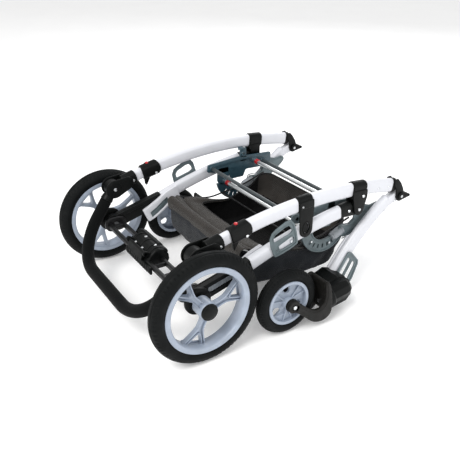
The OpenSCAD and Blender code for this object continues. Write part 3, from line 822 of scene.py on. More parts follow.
def sleeve(shape, y0, y1, t, c=UPPER_C, r=UPPER_R, bow0=0.0, bow1=0.0, round_by=1.6, x=FRAME_X):
    """A shell round an upper tube from y0 to y1, standing t proud; its ends may bow out."""
    h, w = TUBE_H + 2 * t, TUBE_W + 2 * t
    rings = []
    rows = 18
    for k in range(-3, rows + 4):
        u = max(0.0, min(1.0, k / rows))
        over = max(0, -k, k - rows) / 3
        d = round_by * (1 - math.cos(math.pi / 2 * over))
        ring = []
        for s, b in oval(h - 2 * d, w - 2 * d, 56):
            bow = 1 - (2 * s / h) ** 2
            low, high = y0 - bow0 * bow, y1 + bow1 * bow
            y = low + round_by + (high - low - 2 * round_by) * u
            y += (round_by * math.sin(math.pi / 2 * over)) * (1 if k > rows else -1 if k < 0 else 0)
            a = math.degrees(math.acos((y - c[0]) / r))
            ring.append(mm(x + b, *polar(c, r + s, a)))
        rings.append(ring)
    return shape.grid(rings)


def upper_tube_shape():
    return Shape().oval_tube(UPPER_C, UPPER_R, upper_angle(610), upper_angle(108), TUBE_H, TUBE_W, steps=64,
                             wall=1.8)


def rear_leg_shape():
    return Shape().oval_tube(REAR_C, REAR_R, 97.7, 110.3, TUBE_H, TUBE_W, steps=48, cap=3)


def front_leg_shape():
    s = Shape().oval_tube(FRONT_C, FRONT_R, 123.5, 148, TUBE_H, TUBE_W, steps=48, cap=3)
    neck = polar(FRONT_C, FRONT_R, 124.6)
    d = (Vector(neck) - Vector(HINGE)).normalized()
    a = math.degrees(math.atan2(d.y, d.x))
    loop = arc(HINGE, 13.8, a + 90, a + 270, 14)
    loop += [(neck[0] + t * d.y * 11.5, neck[1] - t * d.x * 11.5) for t in (1, -1)]
    return s.plate(hull(loop), TUBE_IN + 0.8, TUBE_OUT - 0.8, bevel=3.0, steps=4)


tube_shapes = {
    "upper_tube": (upper_tube_shape(), "upper_frame", "bent_upper_tube"),
    "rear_leg": (rear_leg_shape(), "rear_legs", "bent_rear_leg"),
    "front_leg": (front_leg_shape(), "front_legs", "bent_front_leg"),
    "telescopic_tube": (
        Shape().oval_tube(UPPER_C, UPPER_R, upper_angle(285), upper_angle(58), 33.4, 17.4, steps=48),
        "handle_slide",
        "inner_handle_tube",
    ),
}
for side in SIDES:
    for node, (shape, body, name) in tube_shapes.items():
        one_side(side, shape, name, WHITE, body, "white_paint", node, angle=40)

# ---------------------------------------------------------------- feet of the rear legs


SPRING_ENDS = ((44, HUB_Z + 12), (112, HUB_Z + 30))


def along_leg(a, s):
    return polar(REAR_C, REAR_R + s, a)


def foot_shape():
    s = Shape()
    low, high = along_leg(110.28, -18), along_leg(110.28, 18)
    outline = arc((0, HUB_Z), 22.5, 84, 250, 20) + [(10, HUB_Z - 19), low, high, (10, HUB_Z + 21)]
    window = stadium(*SPRING_ENDS, 9)
    s.plate(outline, TUBE_IN, TUBE_IN + 7, bevel=2.2, steps=4)
    s.plate(outline, TUBE_IN + 6.5, TUBE_OUT, holes=[window], bevel=1.6, steps=4)
    s.plate([(20, HUB_Z + 20), (30, HUB_Z + 23), (120, HUB_Z + 46), (134, HUB_Z + 49), (132, HUB_Z + 42),
             (24, HUB_Z + 15)],
            TUBE_IN - 1.0, TUBE_OUT + 0.2, bevel=1.2, fillet=2)
    s.lathe([(0, 9), (0, 17), (1.5, 18), (3.4, 18), (3.6, 9)], at(TUBE_OUT - 0.6, 0, HUB_Z), 48)
    return s


def spring_shape():
    s = Shape()
    s.plate(stadium(*SPRING_ENDS, 8.6), TUBE_IN + 7, TUBE_OUT - 3.5, bevel=1.2)
    start, end = (Vector(p) for p in SPRING_ENDS)
    d = (end - start).normalized()
    for k in range(10):
        c = start + d * (7.2 * k + 2)
        p, q = c + Vector((-d.y, d.x)) * 6.0, c - Vector((-d.y, d.x)) * 6.0
        s.plate(stadium(tuple(p), tuple(q), 1.5, 6), TUBE_OUT - 4.5, TUBE_OUT - 1.8, bevel=0.6)
    return s


LEG_FRAME = [(108.0, 17.5, -19.5), (109.6, 17.0, -25.0), (111.0, 10.0, -33.0), (112.4, 6.0, -37.5),
             (113.4, 5.0, -37.0)]
LEG_INSERT = [(109.7, 2.0, -17.0), (110.6, -3.0, -24.5), (111.7, -10.0, -30.0), (112.7, -13.0, -33.0)]


def leg_band(rows):
    """An outline that follows the rear leg: places along it with the height of its two edges."""
    upper = [along_leg(a, high) for a, high, low in rows]
    return upper + [along_leg(a, low) for a, high, low in reversed(rows)]


def leg_sleeve_shape():
    """White frame on the inner face of each rear leg's lower end, round a grey insert."""
    s = Shape()
    s.plate(leg_band(LEG_FRAME), TUBE_IN - 9.0, TUBE_IN + 1.5, holes=[leg_band(LEG_INSERT)], bevel=1.0,
            fillet=3)
    return s


def leg_insert_shape():
    s = Shape()
    s.plate(leg_band(LEG_INSERT), TUBE_IN - 5.0, TUBE_IN + 1.0, bevel=0.7, fillet=2)
    s.plate(leg_band([(110.2, -6, -13), (111.2, -13, -20), (112.3, -20, -26)]), TUBE_IN - 7.4, TUBE_IN - 4.6,
            bevel=0.6, fillet=1.5)
    return s


def top_fitting_shape():
    s = Shape()
    s.oval_tube(REAR_C, REAR_R, 96.2, 97.75, TUBE_H + 2.6, TUBE_W - 0.1, steps=8, cap=1.2)
    s.plate(stadium((452, 250), STRAP, 16.8, 16), TUBE_IN + 0.1, TUBE_OUT - 0.1, bevel=3.0, steps=4)
    s.plate(stadium((444, 248), (458, 248), 13, 12), TUBE_OUT - 1.5, TUBE_OUT + 0.0, bevel=0.8)
    return s


for side in SIDES:
    one_side(side, foot_shape(), "moulded_foot", BLACK, "rear_legs", "black_plastic", "leg_foot")
both(spring_shape()).made("ribbed_spring_blocks", GREY, "rear_legs", "grey_plastic", "foot_springs")
both(leg_sleeve_shape()).made("leg_end_frames", WHITE, "rear_legs", "white_paint")
both(Shape().oval_tube(FRONT_C, FRONT_R, 137.5, 147.4, 36, 9, x=224.5, steps=24, cap=2.5)).made(
    "front_leg_covers", WHITE, "front_legs", "white_paint", angle=40)
both(leg_insert_shape()).made("leg_end_inserts", BRACKET, "rear_legs", "bracket_plastic")
both(top_fitting_shape()).made("leg_pivot_fittings", BLACK, "rear_legs", "black_plastic", "leg_top_fittings")


def carry_shape(outline, slots, x0, x1):
    """A carry plate: a raised frame round its slots, on a thinner web."""
    s = Shape()
    s.plate(outline, x0, x1 - 1.6, holes=slots, bevel=0.7, fillet=6)
    s.plate(outline, x0 + 2.0, x1, holes=[inset(outline, 3.0)], bevel=0.8, fillet=6)
    for slot in slots:
        wide = inset(slot if area(slot) < 0 else slot[::-1], 2.6)
        s.plate(wide[::-1], x0 + 2.0, x1 - 0.2, holes=[slot], bevel=0.7, fillet=3)
    return s


REAR_CARRY = [(223, 189), (212, 215), (208, 236), (213, 249), (224, 257), (252, 270), (264, 271), (273, 261),
              (281, 236), (286, 208), (264, 199), (243, 193)]
REAR_SLOTS = [[(218, 224), (215, 237), (220, 246), (248, 259), (260, 261), (268, 252), (272, 242),
               (262, 236)],
              [(231, 213), (236, 200), (246, 201), (268, 207), (279, 213), (276, 226), (270, 229)]]
FRONT_CARRY = [(467, 124), (475, 121), (500, 92), (500, 82), (484, 42), (477, 34), (465, 34), (436, 64),
               (432, 72)]
FRONT_SLOTS = [[(483, 97), (492, 88), (490, 78), (471, 42), (464, 42), (456, 54)],
               [(466, 114), (476, 102), (452, 60), (446, 61), (439, 70), (440, 78)]]
both(carry_shape(REAR_CARRY, REAR_SLOTS, TUBE_OUT + 0.2, TUBE_OUT + 5.4)).made(
    "rear_carry_plates", BRACKET, "rear_legs", "bracket_plastic", "rear_carry_brackets")
both(carry_shape(FRONT_CARRY, FRONT_SLOTS, TUBE_OUT + 0.2, TUBE_OUT + 5.4)).made(
    "front_carry_plates", BRACKET, "front_legs", "bracket_plastic", "front_carry_brackets")

# ---------------------------------------------------------------- fittings of the upper tubes

BUTTON = (117.0, upper_z(117) + 21)
LATCH_EYE = (315, 240)


def collar_shape():
    s = Shape()
    sleeve(s, 100, 147, 3.5, bow0=2.5, bow1=8, round_by=2.2)
    s.plate([(104, 262), (126, 266), (122, 248), (117, 239), (112.5, 230.5), (109.5, 232), (108, 246)],
            FRAME_X - 5.5, FRAME_X + 5.5, bevel=1.8, fillet=3)
    boss = at(FRAME_X, BUTTON[0], BUTTON[1] - 5, "Z")
    s.lathe([(0, 5.3), (0, 9.6), (4.5, 9.0), (6.2, 7.6), (6.6, 6.2), (6.2, 5.3)], boss, 32, closed=True)
    return s


def button_shape():
    m = at(FRAME_X, BUTTON[0], BUTTON[1] + 0.3, "Z")
    return Shape().lathe([(0, 0), (0, 4.4), (0.4, 4.8), (2.8, 4.8), (4.1, 4.2), (4.7, 2.6), (4.8, 0)], m, 32)


def half_wrap(shape, y0, y1, t):
    """A clip over the outer face and the top of an upper tube."""
    rings = []
    for k in range(17):
        y = y0 + (y1 - y0) * (1 - math.cos(math.pi * k / 16)) / 2
        thin = t * (1 - 0.75 * abs(math.cos(math.pi * k / 16)) ** 8)
        a = upper_angle(y)
        ring = []
        for h, w, turns in ((TUBE_H + 2 * thin, TUBE_W + 2 * thin, range(-8, 186, 6)),
                            (TUBE_H, TUBE_W, range(184, -10, -6))):
            for d in turns:
                c = math.cos(math.radians(d))
                b = w / 2 * math.sin(math.radians(d))
                along_section = (h - w) / 2 * max(-1.0, min(1.0, c * 30)) + w / 2 * c
                ring.append(mm(FRAME_X + b, *polar(UPPER_C, UPPER_R + along_section, a)))
        rings.append(ring)
    return shape.grid(rings)


def latch_shape():
    s = Shape()
    half_wrap(s, 290, 334, 3.5)
    outline = [(334, 312), (291, 308), (293, 262), (295.5, 234)] + arc((315, 234), 19.5, 182, 358, 16)
    outline += [(334.5, 262), (337, 290)]
    eye, rim = ellipse(LATCH_EYE, 8.8, 14.5), ellipse(LATCH_EYE, 12.2, 18)
    s.plate(outline, TUBE_OUT + 0.6, TUBE_OUT + 4.6, holes=[eye], bevel=1.6, fillet=3, steps=4)
    s.plate(rim, TUBE_OUT + 2.0, TUBE_OUT + 6.0, holes=[eye[::-1]], bevel=1.2)
    s.plate(ellipse(LATCH_EYE, 7.6, 13.2), TUBE_OUT + 0.6, TUBE_OUT + 2.6, bevel=0.9)
    s.plate([(334, 316), (290, 312), (292, 292), (336, 296)], TUBE_OUT + 1.2, TUBE_OUT + 6.0, bevel=2.0,
            fillet=5, steps=4)
    return s


def strap_shape():
    s = Shape()
    sleeve(s, 466, 510, 3.2, bow0=1.0, bow1=2.0, round_by=2.2)
    cheek = [(512, 300), (464, 302), (464, 286)] + arc(STRAP, 16, 188, 345, 14) + [(508, 262), (513, 280)]
    s.plate(cheek, TUBE_OUT + 0.3, TUBE_OUT + 5.4, bevel=1.5, fillet=3, steps=4)
    inner = [(505, 290), (465, 292), (466, 285)] + arc(STRAP, 15, 190, 350, 14) + [(503, 280)]
    s.plate(inner, TUBE_IN - 5.3, TUBE_IN - 0.3, bevel=1.0, fillet=2)
    return s


def hinge_cap_shape():
    s = Shape()
    sleeve(s, 608, 620, 1.2, bow1=2.0, round_by=1.8)
    plate = [(611, 303), (611, 288), (619, 276)] + arc(HINGE, 15, 195, 400, 20) + [(645, 274), (635, 291),
            (623, 304)]
    for x in (TUBE_IN - 5, TUBE_OUT + 0.3):
        s.plate(plate, x, x + 4.7, bevel=1.3, fillet=2.5)
    web = [(616, 304), (625, 300), (640, 280), (634, 276), (620, 286), (612, 290)]
    s.plate(web, TUBE_IN - 2, TUBE_OUT + 2, bevel=1.6, fillet=3)
    return s


def lever_shape():
    s = Shape()
    tip = (HINGE[0] + 28, HINGE[1] - 2)
    for x in (TUBE_IN - 11, TUBE_OUT + 5.3):
        loop = hull(arc(HINGE, 10.5, 0, 345, 24) + arc(tip, 4, 0, 330, 12))
        s.plate(loop, x, x + 4.5, bevel=1.2)
    s.lathe([(0, 0), (0, 3.4), (0.8, 4.0), (42.0, 4.0), (42.8, 3.4), (42.8, 0)], at(TUBE_IN - 11, *tip), 24)
    return s


both(collar_shape()).made("clamp_collars", BLACK, "upper_frame", "black_plastic", "tube_collars")
latch_shape().made("latch_wrap", BLACK, "upper_frame", "black_plastic", "latch_plate_right",
                   "latch_plate_left")
both(strap_shape()).made("pivot_brackets", BLACK, "upper_frame", "black_plastic", "pivot_straps")
for side in SIDES:
    button_body, lever_body = f"release_button_{side}", f"fold_lever_{side}"
    one_side(side, hinge_cap_shape(), "hinge_shell", BLACK, "upper_frame", "black_plastic", "hinge_cap")
    one_side(side, button_shape(), "red_button", RED, button_body, "red_plastic", "release_button")
    one_side(side, lever_shape(), "hinge_loop", BLACK, lever_body, "black_plastic", "fold_lever")

# ---------------------------------------------------------------- seat brackets, bars and locks

SEAT_X = 205.0
BAR_HALF = 211
ARC = (412.0, 207.0)
SEAT_BOLT = (430, 275)
BARS = {"rear": (362, 198), "front": (470, 246)}
DARK = {"rear": (318, 247), "front": (504, 238)}


def seat_bracket_shape():
    s = Shape()
    beam = [(300, 238), (303, 260), (420, 268), (534, 262), (534, 232), (516, 219), (440, 222), (430, 200),
            (384, 200),
            (374, 226), (350, 226)]
    s.plate(beam, SEAT_X, SEAT_X + 6, bevel=1.2, fillet=6)
    rim = [(306, 255), (420, 264.5), (530, 258), (530, 250), (420, 256), (306, 247)]
    s.plate(rim, SEAT_X - 1.6, SEAT_X + 0.6, bevel=0.7, fillet=2)
    ring = arc(ARC, 78, 190, 322, 36) + arc(ARC, 44, 322, 190, 28)
    slots = []
    for i in range(6):
        a = 222 + 15 * i
        c = polar(ARC, 62, a)
        u = Vector((math.cos(math.radians(a)), math.sin(math.radians(a))))
        slots.append(stadium(tuple(Vector(c) - u * 4), tuple(Vector(c) + u * 4), 2.4, 5))
    s.plate(ring, SEAT_X, SEAT_X + 6, holes=slots, bevel=1.0)
    for r0, r1 in ((78.4, 74.6), (47.6, 43.8)):
        s.plate(arc(ARC, r0, 190, 322, 36) + arc(ARC, r1, 322, 190, 36), SEAT_X + 4, SEAT_X + 8.2, bevel=0.9)
    s.plate([(338, 244), (376, 244), (378, 196), (366, 186), (342, 190), (336, 204)], SEAT_X, SEAT_X + 6,
            bevel=1.2, fillet=5)
    y, z = SEAT_BOLT[0], upper_z(SEAT_BOLT[0])
    lug = [(y - 13, 250), (y + 13, 250), (y + 10, z - 11), (y - 10, z - 11)]
    s.plate(lug, SEAT_X, SEAT_X + 6, holes=[circle(SEAT_BOLT, 4.3, 20)], bevel=1.2, fillet=2)
    s.plate([(y - 8, z - 22), (y + 8, z - 22), (y + 8, z - 12), (y - 8, z - 12)], SEAT_X + 5, TUBE_IN + 0.4,
            bevel=1.5, fillet=2)
    for p in list(BARS.values()) + list(DARK.values()):
        s.lathe([(0, 5.9), (0, 9.5), (1.2, 10.4), (8, 10.8), (9.6, 9.8), (9.6, 5.9)], at(SEAT_X - 3, *p), 36,
                closed=True)
    s.lathe([(0, 4.1), (0, 8.0), (1, 8.8), (4, 9.2), (4, 4.1)], at(SEAT_X - 3.5, *SEAT_BOLT), 36, closed=True)
    return s


def bar_shape(places, r, x):
    s = Shape()
    for p in places:
        s.lathe([(0, 0), (0, r - 0.6), (0.6, r), (2 * x - 0.6, r), (2 * x, r - 0.6), (2 * x, 0)], at(-x, *p),
                40)
    return s


def bar_sleeve_shape():
    s = Shape()
    for p in BARS.values():
        s.lathe([(0, 6.05), (0, 7.2), (0.9, 8.1), (5.2, 8.1), (6, 7.6), (6.8, 8.1), (11.1, 8.1), (12, 7.2),
                 (12, 6.05)],
                at(180, *p), 36, closed=True)
    return s


def lock_arm_shape():
    s = Shape()
    outline = [(592, 224), (582, 213), (537, 180), (487, 161), (470, 158), (455, 175), (460, 192),
               (490, 190), (508, 202),
               (514, 232), (530, 236), (560, 226), (586, 230)]
    s.plate(outline, 212, 217.2, bevel=1.2, fillet=5)
    s.plate(outline, 215.5, 219.5, holes=[inset(rounded(outline, 5), 4.0)], bevel=0.9, fillet=5)
    s.lathe([(0, 0), (0, 6), (4, 6)], at(210.6, 525, 227), 24)
    return s


def plunger_shape():
    s = Shape()
    m = Matrix.Translation(mm(213.5, 452, 173)) @ Matrix.Rotation(math.radians(-68), 4, "X")
    prof = [(-20, 0), (-20, 8.5), (-18.6, 10.2), (-15, 10.4), (-14.2, 12), (12.5, 12), (13.2, 10.6),
            (14.4, 10.6)]
    prof += [(15.2, 12), (18.4, 12), (19.8, 10.6), (20, 8), (19, 7.2), (19, 0)]
    return s.lathe(prof, m, 40)


# The far seat bracket gets the darker copy of the bracket plastic: painted shade.
for side, mat in zip(SIDES, (BRACKET, BRACKET_FAR_SHADE)):
    one_side(side, seat_bracket_shape(), "seat_arc", mat, "upper_frame", "bracket_plastic", "seat_bracket")
bar_shape(BARS.values(), 6.0, BAR_HALF).made("bright_cross_bars", CHROME, "upper_frame", "chrome",
                                             "chrome_bars")
bar_shape(DARK.values(), 5.4, BAR_HALF).made("painted_cross_bars", DARK_BAR, "upper_frame", "bar_paint",
                                             "dark_bars")
both(bar_sleeve_shape()).made("red_bar_sleeves", RED, "upper_frame", "red_plastic", "bar_sleeves")
both(lock_arm_shape()).made("locking_arms", BRACKET, "upper_frame", "bracket_plastic", "lock_arms")
both(plunger_shape()).made("round_plungers", GREY, "upper_frame", "grey_plastic", "lock_plungers")

# ---------------------------------------------------------------- push handle

LEAN = math.radians(8)
ARM_L = 95.0
BOW = 208.0
CORNER_R = (BOW - ARM_L * math.cos(LEAN)) / (1 - math.sin(LEAN))
CORNER = (FRAME_X - ARM_L * math.sin(LEAN) - CORNER_R * math.cos(LEAN),
          ARM_L * math.cos(LEAN) - CORNER_R * math.sin(LEAN))
HANDLE_A = math.radians(231.6)


def handle_at(x, v, out=0.0):
    """A place on the handle: x across, v from its pivots towards the bow, out square to its plane."""
    y = KNUCKLE[0] + v * math.cos(HANDLE_A) - out * math.sin(HANDLE_A)
    z = KNUCKLE[1] + v * math.sin(HANDLE_A) + out * math.cos(HANDLE_A)
    return mm(x, y, z)


def arm_at(sign, t):
    """A place on one of the handle's straight arms, t from its pivot."""
    return handle_at(sign * (FRAME_X - t * math.sin(LEAN)), t * math.cos(LEAN))


def bow_path(skip):
    """The middle line of the handle, leaving out the first stretch of each arm."""
    half = []
    for k in range(13):
        t = skip + (ARM_L - skip) * k / 12
        half.append((FRAME_X - t * math.sin(LEAN), t * math.cos(LEAN)))
    for k in range(1, 31):
        a = LEAN + (math.pi / 2 - LEAN) * k / 30
        half.append((CORNER[0] + CORNER_R * math.cos(a), CORNER[1] + CORNER_R * math.sin(a)))
    half += [(CORNER[0] * k / 8, BOW) for k in range(7, 0, -1)]
    line = half + [(0.0, BOW)] + [(-x, v) for x, v in reversed(half)]
    return [handle_at(x, v) for x, v in line]


def knuckle_shape():
    s = Shape()
    sleeve(s, 38, 76, 2.2, bow1=3.0, round_by=2.0)
    top = upper_z(44)
    for x0, x1 in ((FRAME_X - 20, FRAME_X - 15.5), (FRAME_X + 15.5, FRAME_X + 20)):
        outline = hull(arc(KNUCKLE, 26.5, 60, 330, 30) + arc((46, top), 19.5, -80, 80, 12))
        s.plate(outline, x0, x1, bevel=1.9, steps=4)
    back = hull(arc((34, top - 3), 16.5, -90, 90, 12) + [(41, top + 16), (36, top + 15), (36, top - 19)])
    s.plate(back, FRAME_X - 17, FRAME_X + 17, bevel=3.0, steps=4, fillet=3)
    for x in (FRAME_X - 20.6, FRAME_X + 17.2):
        s.lathe([(0, 12), (0, 20.5), (0.9, 21.6), (2.6, 21.6), (3.4, 20.5), (3.4, 12)], at(x, *KNUCKLE), 56,
                closed=True)
        s.lathe([(0.8, 0), (0.8, 13.0), (2.8, 13.0), (2.8, 0)], at(x, *KNUCKLE), 40)
    return s


def hub_shape():
    """The handle's black tube ends with their round pivot eyes."""
    s = Shape()
    for x in (FRAME_X, -FRAME_X):
        prof = [(-14.6, 5), (-14.6, 20.5), (-13.0, 22.4), (-5, 22.8), (5, 22.8), (13.0, 22.4), (14.6, 20.5),
                (14.6, 5)]
        s.lathe(prof, at(x, *KNUCKLE), 64)
    s.sweep(bow_path(14), 11.0, 28)
    for sign in (1, -1):
        lug = [arm_at(sign, t) for t in (12, 20, 25, 28, 33, 38)]
        neck = lug[:3]
        s.sweep(lug, lambda p: 14.8 if min((p - q).length for q in neck) < 1e-6 else 16.6, 32, cap=0.3)
    return s


def grip_shape():
    s = Shape()
    path = bow_path(36)
    lengths = [0.0]
    for a, b in zip(path, path[1:]):
        lengths.append(lengths[-1] + (b - a).length)
    total = lengths[-1]
    fine = []
    steps = 260
    k = 0
    for i in range(steps + 1):
        want = total * i / steps
        while k < len(lengths) - 2 and lengths[k + 1] < want:
            k += 1
        t = (want - lengths[k]) / (lengths[k + 1] - lengths[k])
        fine.append(path[k].lerp(path[k + 1], t))

    def fat(p):
        end = min((p - path[0]).length, (p - path[-1]).length)
        r = 17.0 - 2.4 * math.exp(-((end / 0.005) ** 2))
        return r - 0.25 + 0.25 * noise.noise(p * 28)

    return s.sweep(fine, fat, 40, cap=0.25)


def cuff_shape():
    """Hard rings that close the ends of the foam."""
    s = Shape()
    for sign in (1, -1):
        s.sweep([arm_at(sign, t) for t in (33.5, 36.5, 39.5)], 17.6, 40, cap=0.12)
    return s


for side in SIDES:
    one_side(side, knuckle_shape(), "handle_joint", BLACK, "handle_slide", "black_plastic", "handle_knuckle")
hub_shape().made("handle_tube_ends", BLACK, "handle", "black_plastic", "handle_bar")
grip = grip_shape().made("foam_push_grip", FOAM, "handle", "foam", "handle_grip")
cuff_shape().made("grip_end_rings", BLACK, "handle", "black_plastic")

# ---------------------------------------------------------------- swivel housings and forks


def stem_matrix(s, n=0.0):
    """Puts a turned part's own Z along the swivel axis, from s along it."""
    y, z = stem_at(s, n)
    turn = Matrix.Rotation(STEM_A, 4, "X") @ Matrix.Rotation(math.radians(-90), 4, "X")
    return Matrix.Translation(mm(FRONT_X, y, z)) @ turn


def housing_block():
    s = Shape()
    facets = [(0, 26), (0, 31.5), (2, 32.2), (12, 32.2), (15.5, 30.5)]
    s.lathe([(a, r) for a, r in facets] + [(15.5, 20)], stem_matrix(118.6), 64)
    s.lathe([(0, 20), (0, 25.6), (6, 26.2), (40, 26.2), (58, 22.5), (66, 16.5), (66, 0)], stem_matrix(132), 9)
    block = stem_loop([(132, -34), (146, -46), (190, -46), (208, -32), (211, -8), (204, 14), (176, 24),
                       (140, 20)])
    s.plate(block, FRONT_X - 38, FRONT_X + 2, bevel=3.4, steps=2)
    link = stem_loop([(140, -24), (196, -22), (206, -6), (206, 14), (178, 28), (142, 20)])
    s.plate(link, TUBE_IN - 4, FRONT_X - 16, bevel=3.4, steps=2)
    socket = [(400, 58), (411, 78.5), (449, 55.5), (440, 44), (424, 38)]
    s.plate(socket, TUBE_IN - 4, TUBE_OUT + 0.8, bevel=2.2, steps=3, fillet=4)
    for k in range(4):
        rib = [stem_at(150 + 11 * k + ds, dn) for ds, dn in ((0, -47.4), (4, -47.4), (4, -40), (0, -40))]
        s.plate(rib, FRONT_X - 34, FRONT_X - 4, bevel=0.9)
    return s


FORK_IN, FORK_OUT = 25.0, 35.0


def fork_loop():
    """Side outline of an arm: round the axle, under the tyre and up beside the swivel."""
    places = [(-12, 42), (-13, 50), (-11, 58), (-3, 63), (6, 61), (17, 53), (36, 31), (55, 13), (70, 6),
              (84, 7)]
    places += [(94, 17), (99, 34), (100, 50), (100, 62), (104, 70), (110, 70), (115, 60), (117, 44),
               (118, 24)]
    places += [(117, -4), (111, -24), (98, -34), (80, -36), (58, -28), (40, -11), (24, 9), (8, 26), (-4, 34)]
    points = [Vector((*stem_at(*p), 0)) for p in places]
    closed = smooth_path([points[-1]] + points + [points[0], points[1]], 4)
    loop = [(p.x, p.y) for p in closed[4:-5]]
    return loop


def fork_shape():
    s = Shape()
    loop = fork_loop()
    s.plate(loop, FRONT_X + FORK_IN, FRONT_X + FORK_OUT, bevel=3.6, steps=5)
    blade = [(-12, 42), (-12, 57), (2, 64), (40, 64), (80, 68), (104, 72), (112, 68), (117, 50), (118, -4),
             (113, -34)]
    blade += [(98, -42), (76, -41), (44, -31), (14, -8), (-4, 20)]
    s.plate(stem_loop(blade), FRONT_X - FORK_OUT, FRONT_X - FORK_IN, bevel=3.6, steps=5, fillet=9)
    for x0 in (FRONT_X - FORK_OUT, FRONT_X + FORK_IN):
        eye = x0 - 1.0
        s.lathe([(0, 4.5), (0, 15.0), (1.4, 16.6), (10.6, 16.6), (12.0, 15.0), (12.0, 4.5)], at(eye, *WHEEL),
                48, closed=True)
    rim = inset(loop if area(loop) > 0 else loop[::-1], 5.0)
    s.plate(rim, FRONT_X + 33.6, FRONT_X + 36.0, bevel=1.6, steps=4)
    crown = [(101, -24), (101, 56), (104, 68), (111, 69), (116, 58), (118, 26), (118, -4), (112, -26)]
    s.plate(stem_loop(crown), FRONT_X - 34, FRONT_X + 34, bevel=4.0, steps=5, fillet=6)
    web = [(92, -30), (96, 10), (101, 44), (104, 20), (104, -26)]
    for x0 in (FRONT_X - 27, FRONT_X + 19):
        s.plate(stem_loop(web), x0, x0 + 8, bevel=2.0, fillet=3)
    s.lathe([(0, 24), (0, 29.5), (1.5, 30.6), (3.4, 30.6), (3.9, 24)], stem_matrix(114.4), 48)
    return s


def wheel_bolt_shape():
    s = Shape()
    s.lathe([(0, 0), (0, 3.9), (72, 3.9), (72, 0)], at(FRONT_X - 36, *WHEEL), 24)
    head = [(0, 5.2), (1.2, 5.5), (2.8, 5.0), (3.6, 3.8), (4.0, 2.0), (4.1, 0)]
    s.lathe(head, at(FRONT_X + 35.6, *WHEEL), 32)
    s.lathe(head, at(FRONT_X - 35.6, *WHEEL, "-X"), 32)
    return s


HOLE_ANGLES = (92, 212, 332)


def front_rim_shape():
    s = Shape()
    hub = at(FRONT_X, *WHEEL)
    ring = [(13.6, 50.6), (14.6, 51.2), (15.0, 53.5), (14.4, 56.0), (14.9, 57.8), (14.0, 58.9), (12.4, 59.0),
            (10.6, 57.0)]
    ring += [(-10.6, 57.0), (-12.4, 59.0), (-14.0, 58.9), (-14.6, 56), (-14.2, 50.5), (-13, 49.4),
             (-6, 51.5), (0, 52.2)]
    ring += [(6, 51.6), (11, 50.6)]
    s.lathe(ring, hub, 120, closed=True)
    s.lathe([(-22, 9), (-22, 13), (-20, 15), (16, 15.8), (20.5, 14.6), (22, 12.5), (22, 0)], hub, 56)

    def dish(y, z):
        r = math.hypot(y - WHEEL[0], z - WHEEL[1])
        return -7.0 * max(0.0, min(1.0, (r - 14) / 22)) + 5.0 * max(0.0, min(1.0, (r - 38) / 14))

    disc = circle(WHEEL, 52.6, 120)
    holes = []
    for a in HOLE_ANGLES:
        u = Vector((math.cos(math.radians(a)), math.sin(math.radians(a))))
        c = Vector(WHEEL)
        holes.append(stadium(tuple(c + u * 35), tuple(c + u * 39.5), 9.6, 12))
    s.plate(disc, FRONT_X + 2, FRONT_X + 6, holes=holes, bevel=0.9, slope=dish)
    for a, h in zip(HOLE_ANGLES, holes):
        lip = stadium(polar(WHEEL, 35, a), polar(WHEEL, 39.5, a), 11.8, 14)
        s.plate(lip, FRONT_X + 4.6, FRONT_X + 8.2, holes=[h], bevel=0.9, slope=dish)
        for turn in (46, 74):
            p, q = polar(WHEEL, 16, a + 60 + (turn - 60) * 0.5), polar(WHEEL, 51, a + turn)
            s.plate(stadium(p, q, 2.0, 6), FRONT_X + 4.8, FRONT_X + 9.4, bevel=0.9, slope=dish)
    return s


def hub_disc_shape():
    prof = [(0, 15.0), (0.4, 16.8), (2.0, 17.2), (2.8, 16.2), (3.2, 9.0), (3.2, 0)]
    return Shape().lathe(prof, at(FRONT_X + 20.6, *WHEEL), 48)


front_tyre = tyre_shape(FRONT_X, *WHEEL, r=86, w=32, bead=58.2, blocks=56, rib=5)
for side in SIDES:
    fork, wheel = f"fork_{side}", f"front_wheel_{side}"
    one_side(side, housing_block(), "faceted_swivel", BLACK, "front_legs", "black_plastic", "swivel_housing",
             angle=24)
    one_side(side, fork_shape(), "curved_fork", BLACK_SOFT, fork, "black_plastic", "fork", angle=40)
    one_side(side, wheel_bolt_shape(), "wheel_bolt", SCREW, fork, "steel", "front_axle")
    one_side(side, front_tyre, "tread_front", TYRE, wheel, "tyre_rubber", "front_tyre", angle=50)
    one_side(side, front_rim_shape(), "dished_rim", RIM, wheel, "rim_plastic", "front_rim", angle=32)
    one_side(side, hub_disc_shape(), "hub_disc", BLACK, wheel, "black_plastic")

# ---------------------------------------------------------------- screws and rivets

head_up = Shape()
for y, z in ((556, 290), (594, 286)):
    screw(head_up, TUBE_OUT - 0.4, y, z, 3.2, 1.8, socket=False)
for x, y, z, r in ((TUBE_OUT + 5.0, 498, 284, 4.4), (TUBE_OUT + 4.9, *STRAP, 4.4),
                   (TUBE_OUT + 3.2, 140, 266, 4.0),
                   (TUBE_OUT + 4.6, *HINGE, 4.6), (TUBE_OUT + 4.6, 300, 300, 2.8)):
    screw(head_up, x, y, z, r, 2.4)
screw(head_up, TUBE_IN - 3.2, 140, 266, 4.0, 2.0, side=-1)
screw(head_up, TUBE_IN - 5.1, *STRAP, 4.4, 2.0, side=-1)
for p in ((368, 169), (430, 150)):
    screw(head_up, SEAT_X + 8.0, *p, 3.4, 1.8)
both(head_up).made("frame_screws", SCREW, "upper_frame", "steel")

head_slide = Shape()
for x, way in ((FRAME_X + 20.0, 1), (FRAME_X - 20.0, -1)):
    screw(head_slide, x + 0.2 * way, *KNUCKLE, 5.2, 2.6, side=way)
for x, way in ((TUBE_OUT + 2.0, 1), (TUBE_IN - 2.0, -1)):
    screw(head_slide, x, 68, 257, 4.0, 2.4, side=way)
both(head_slide).made("handle_screws", SCREW, "handle_slide", "steel")

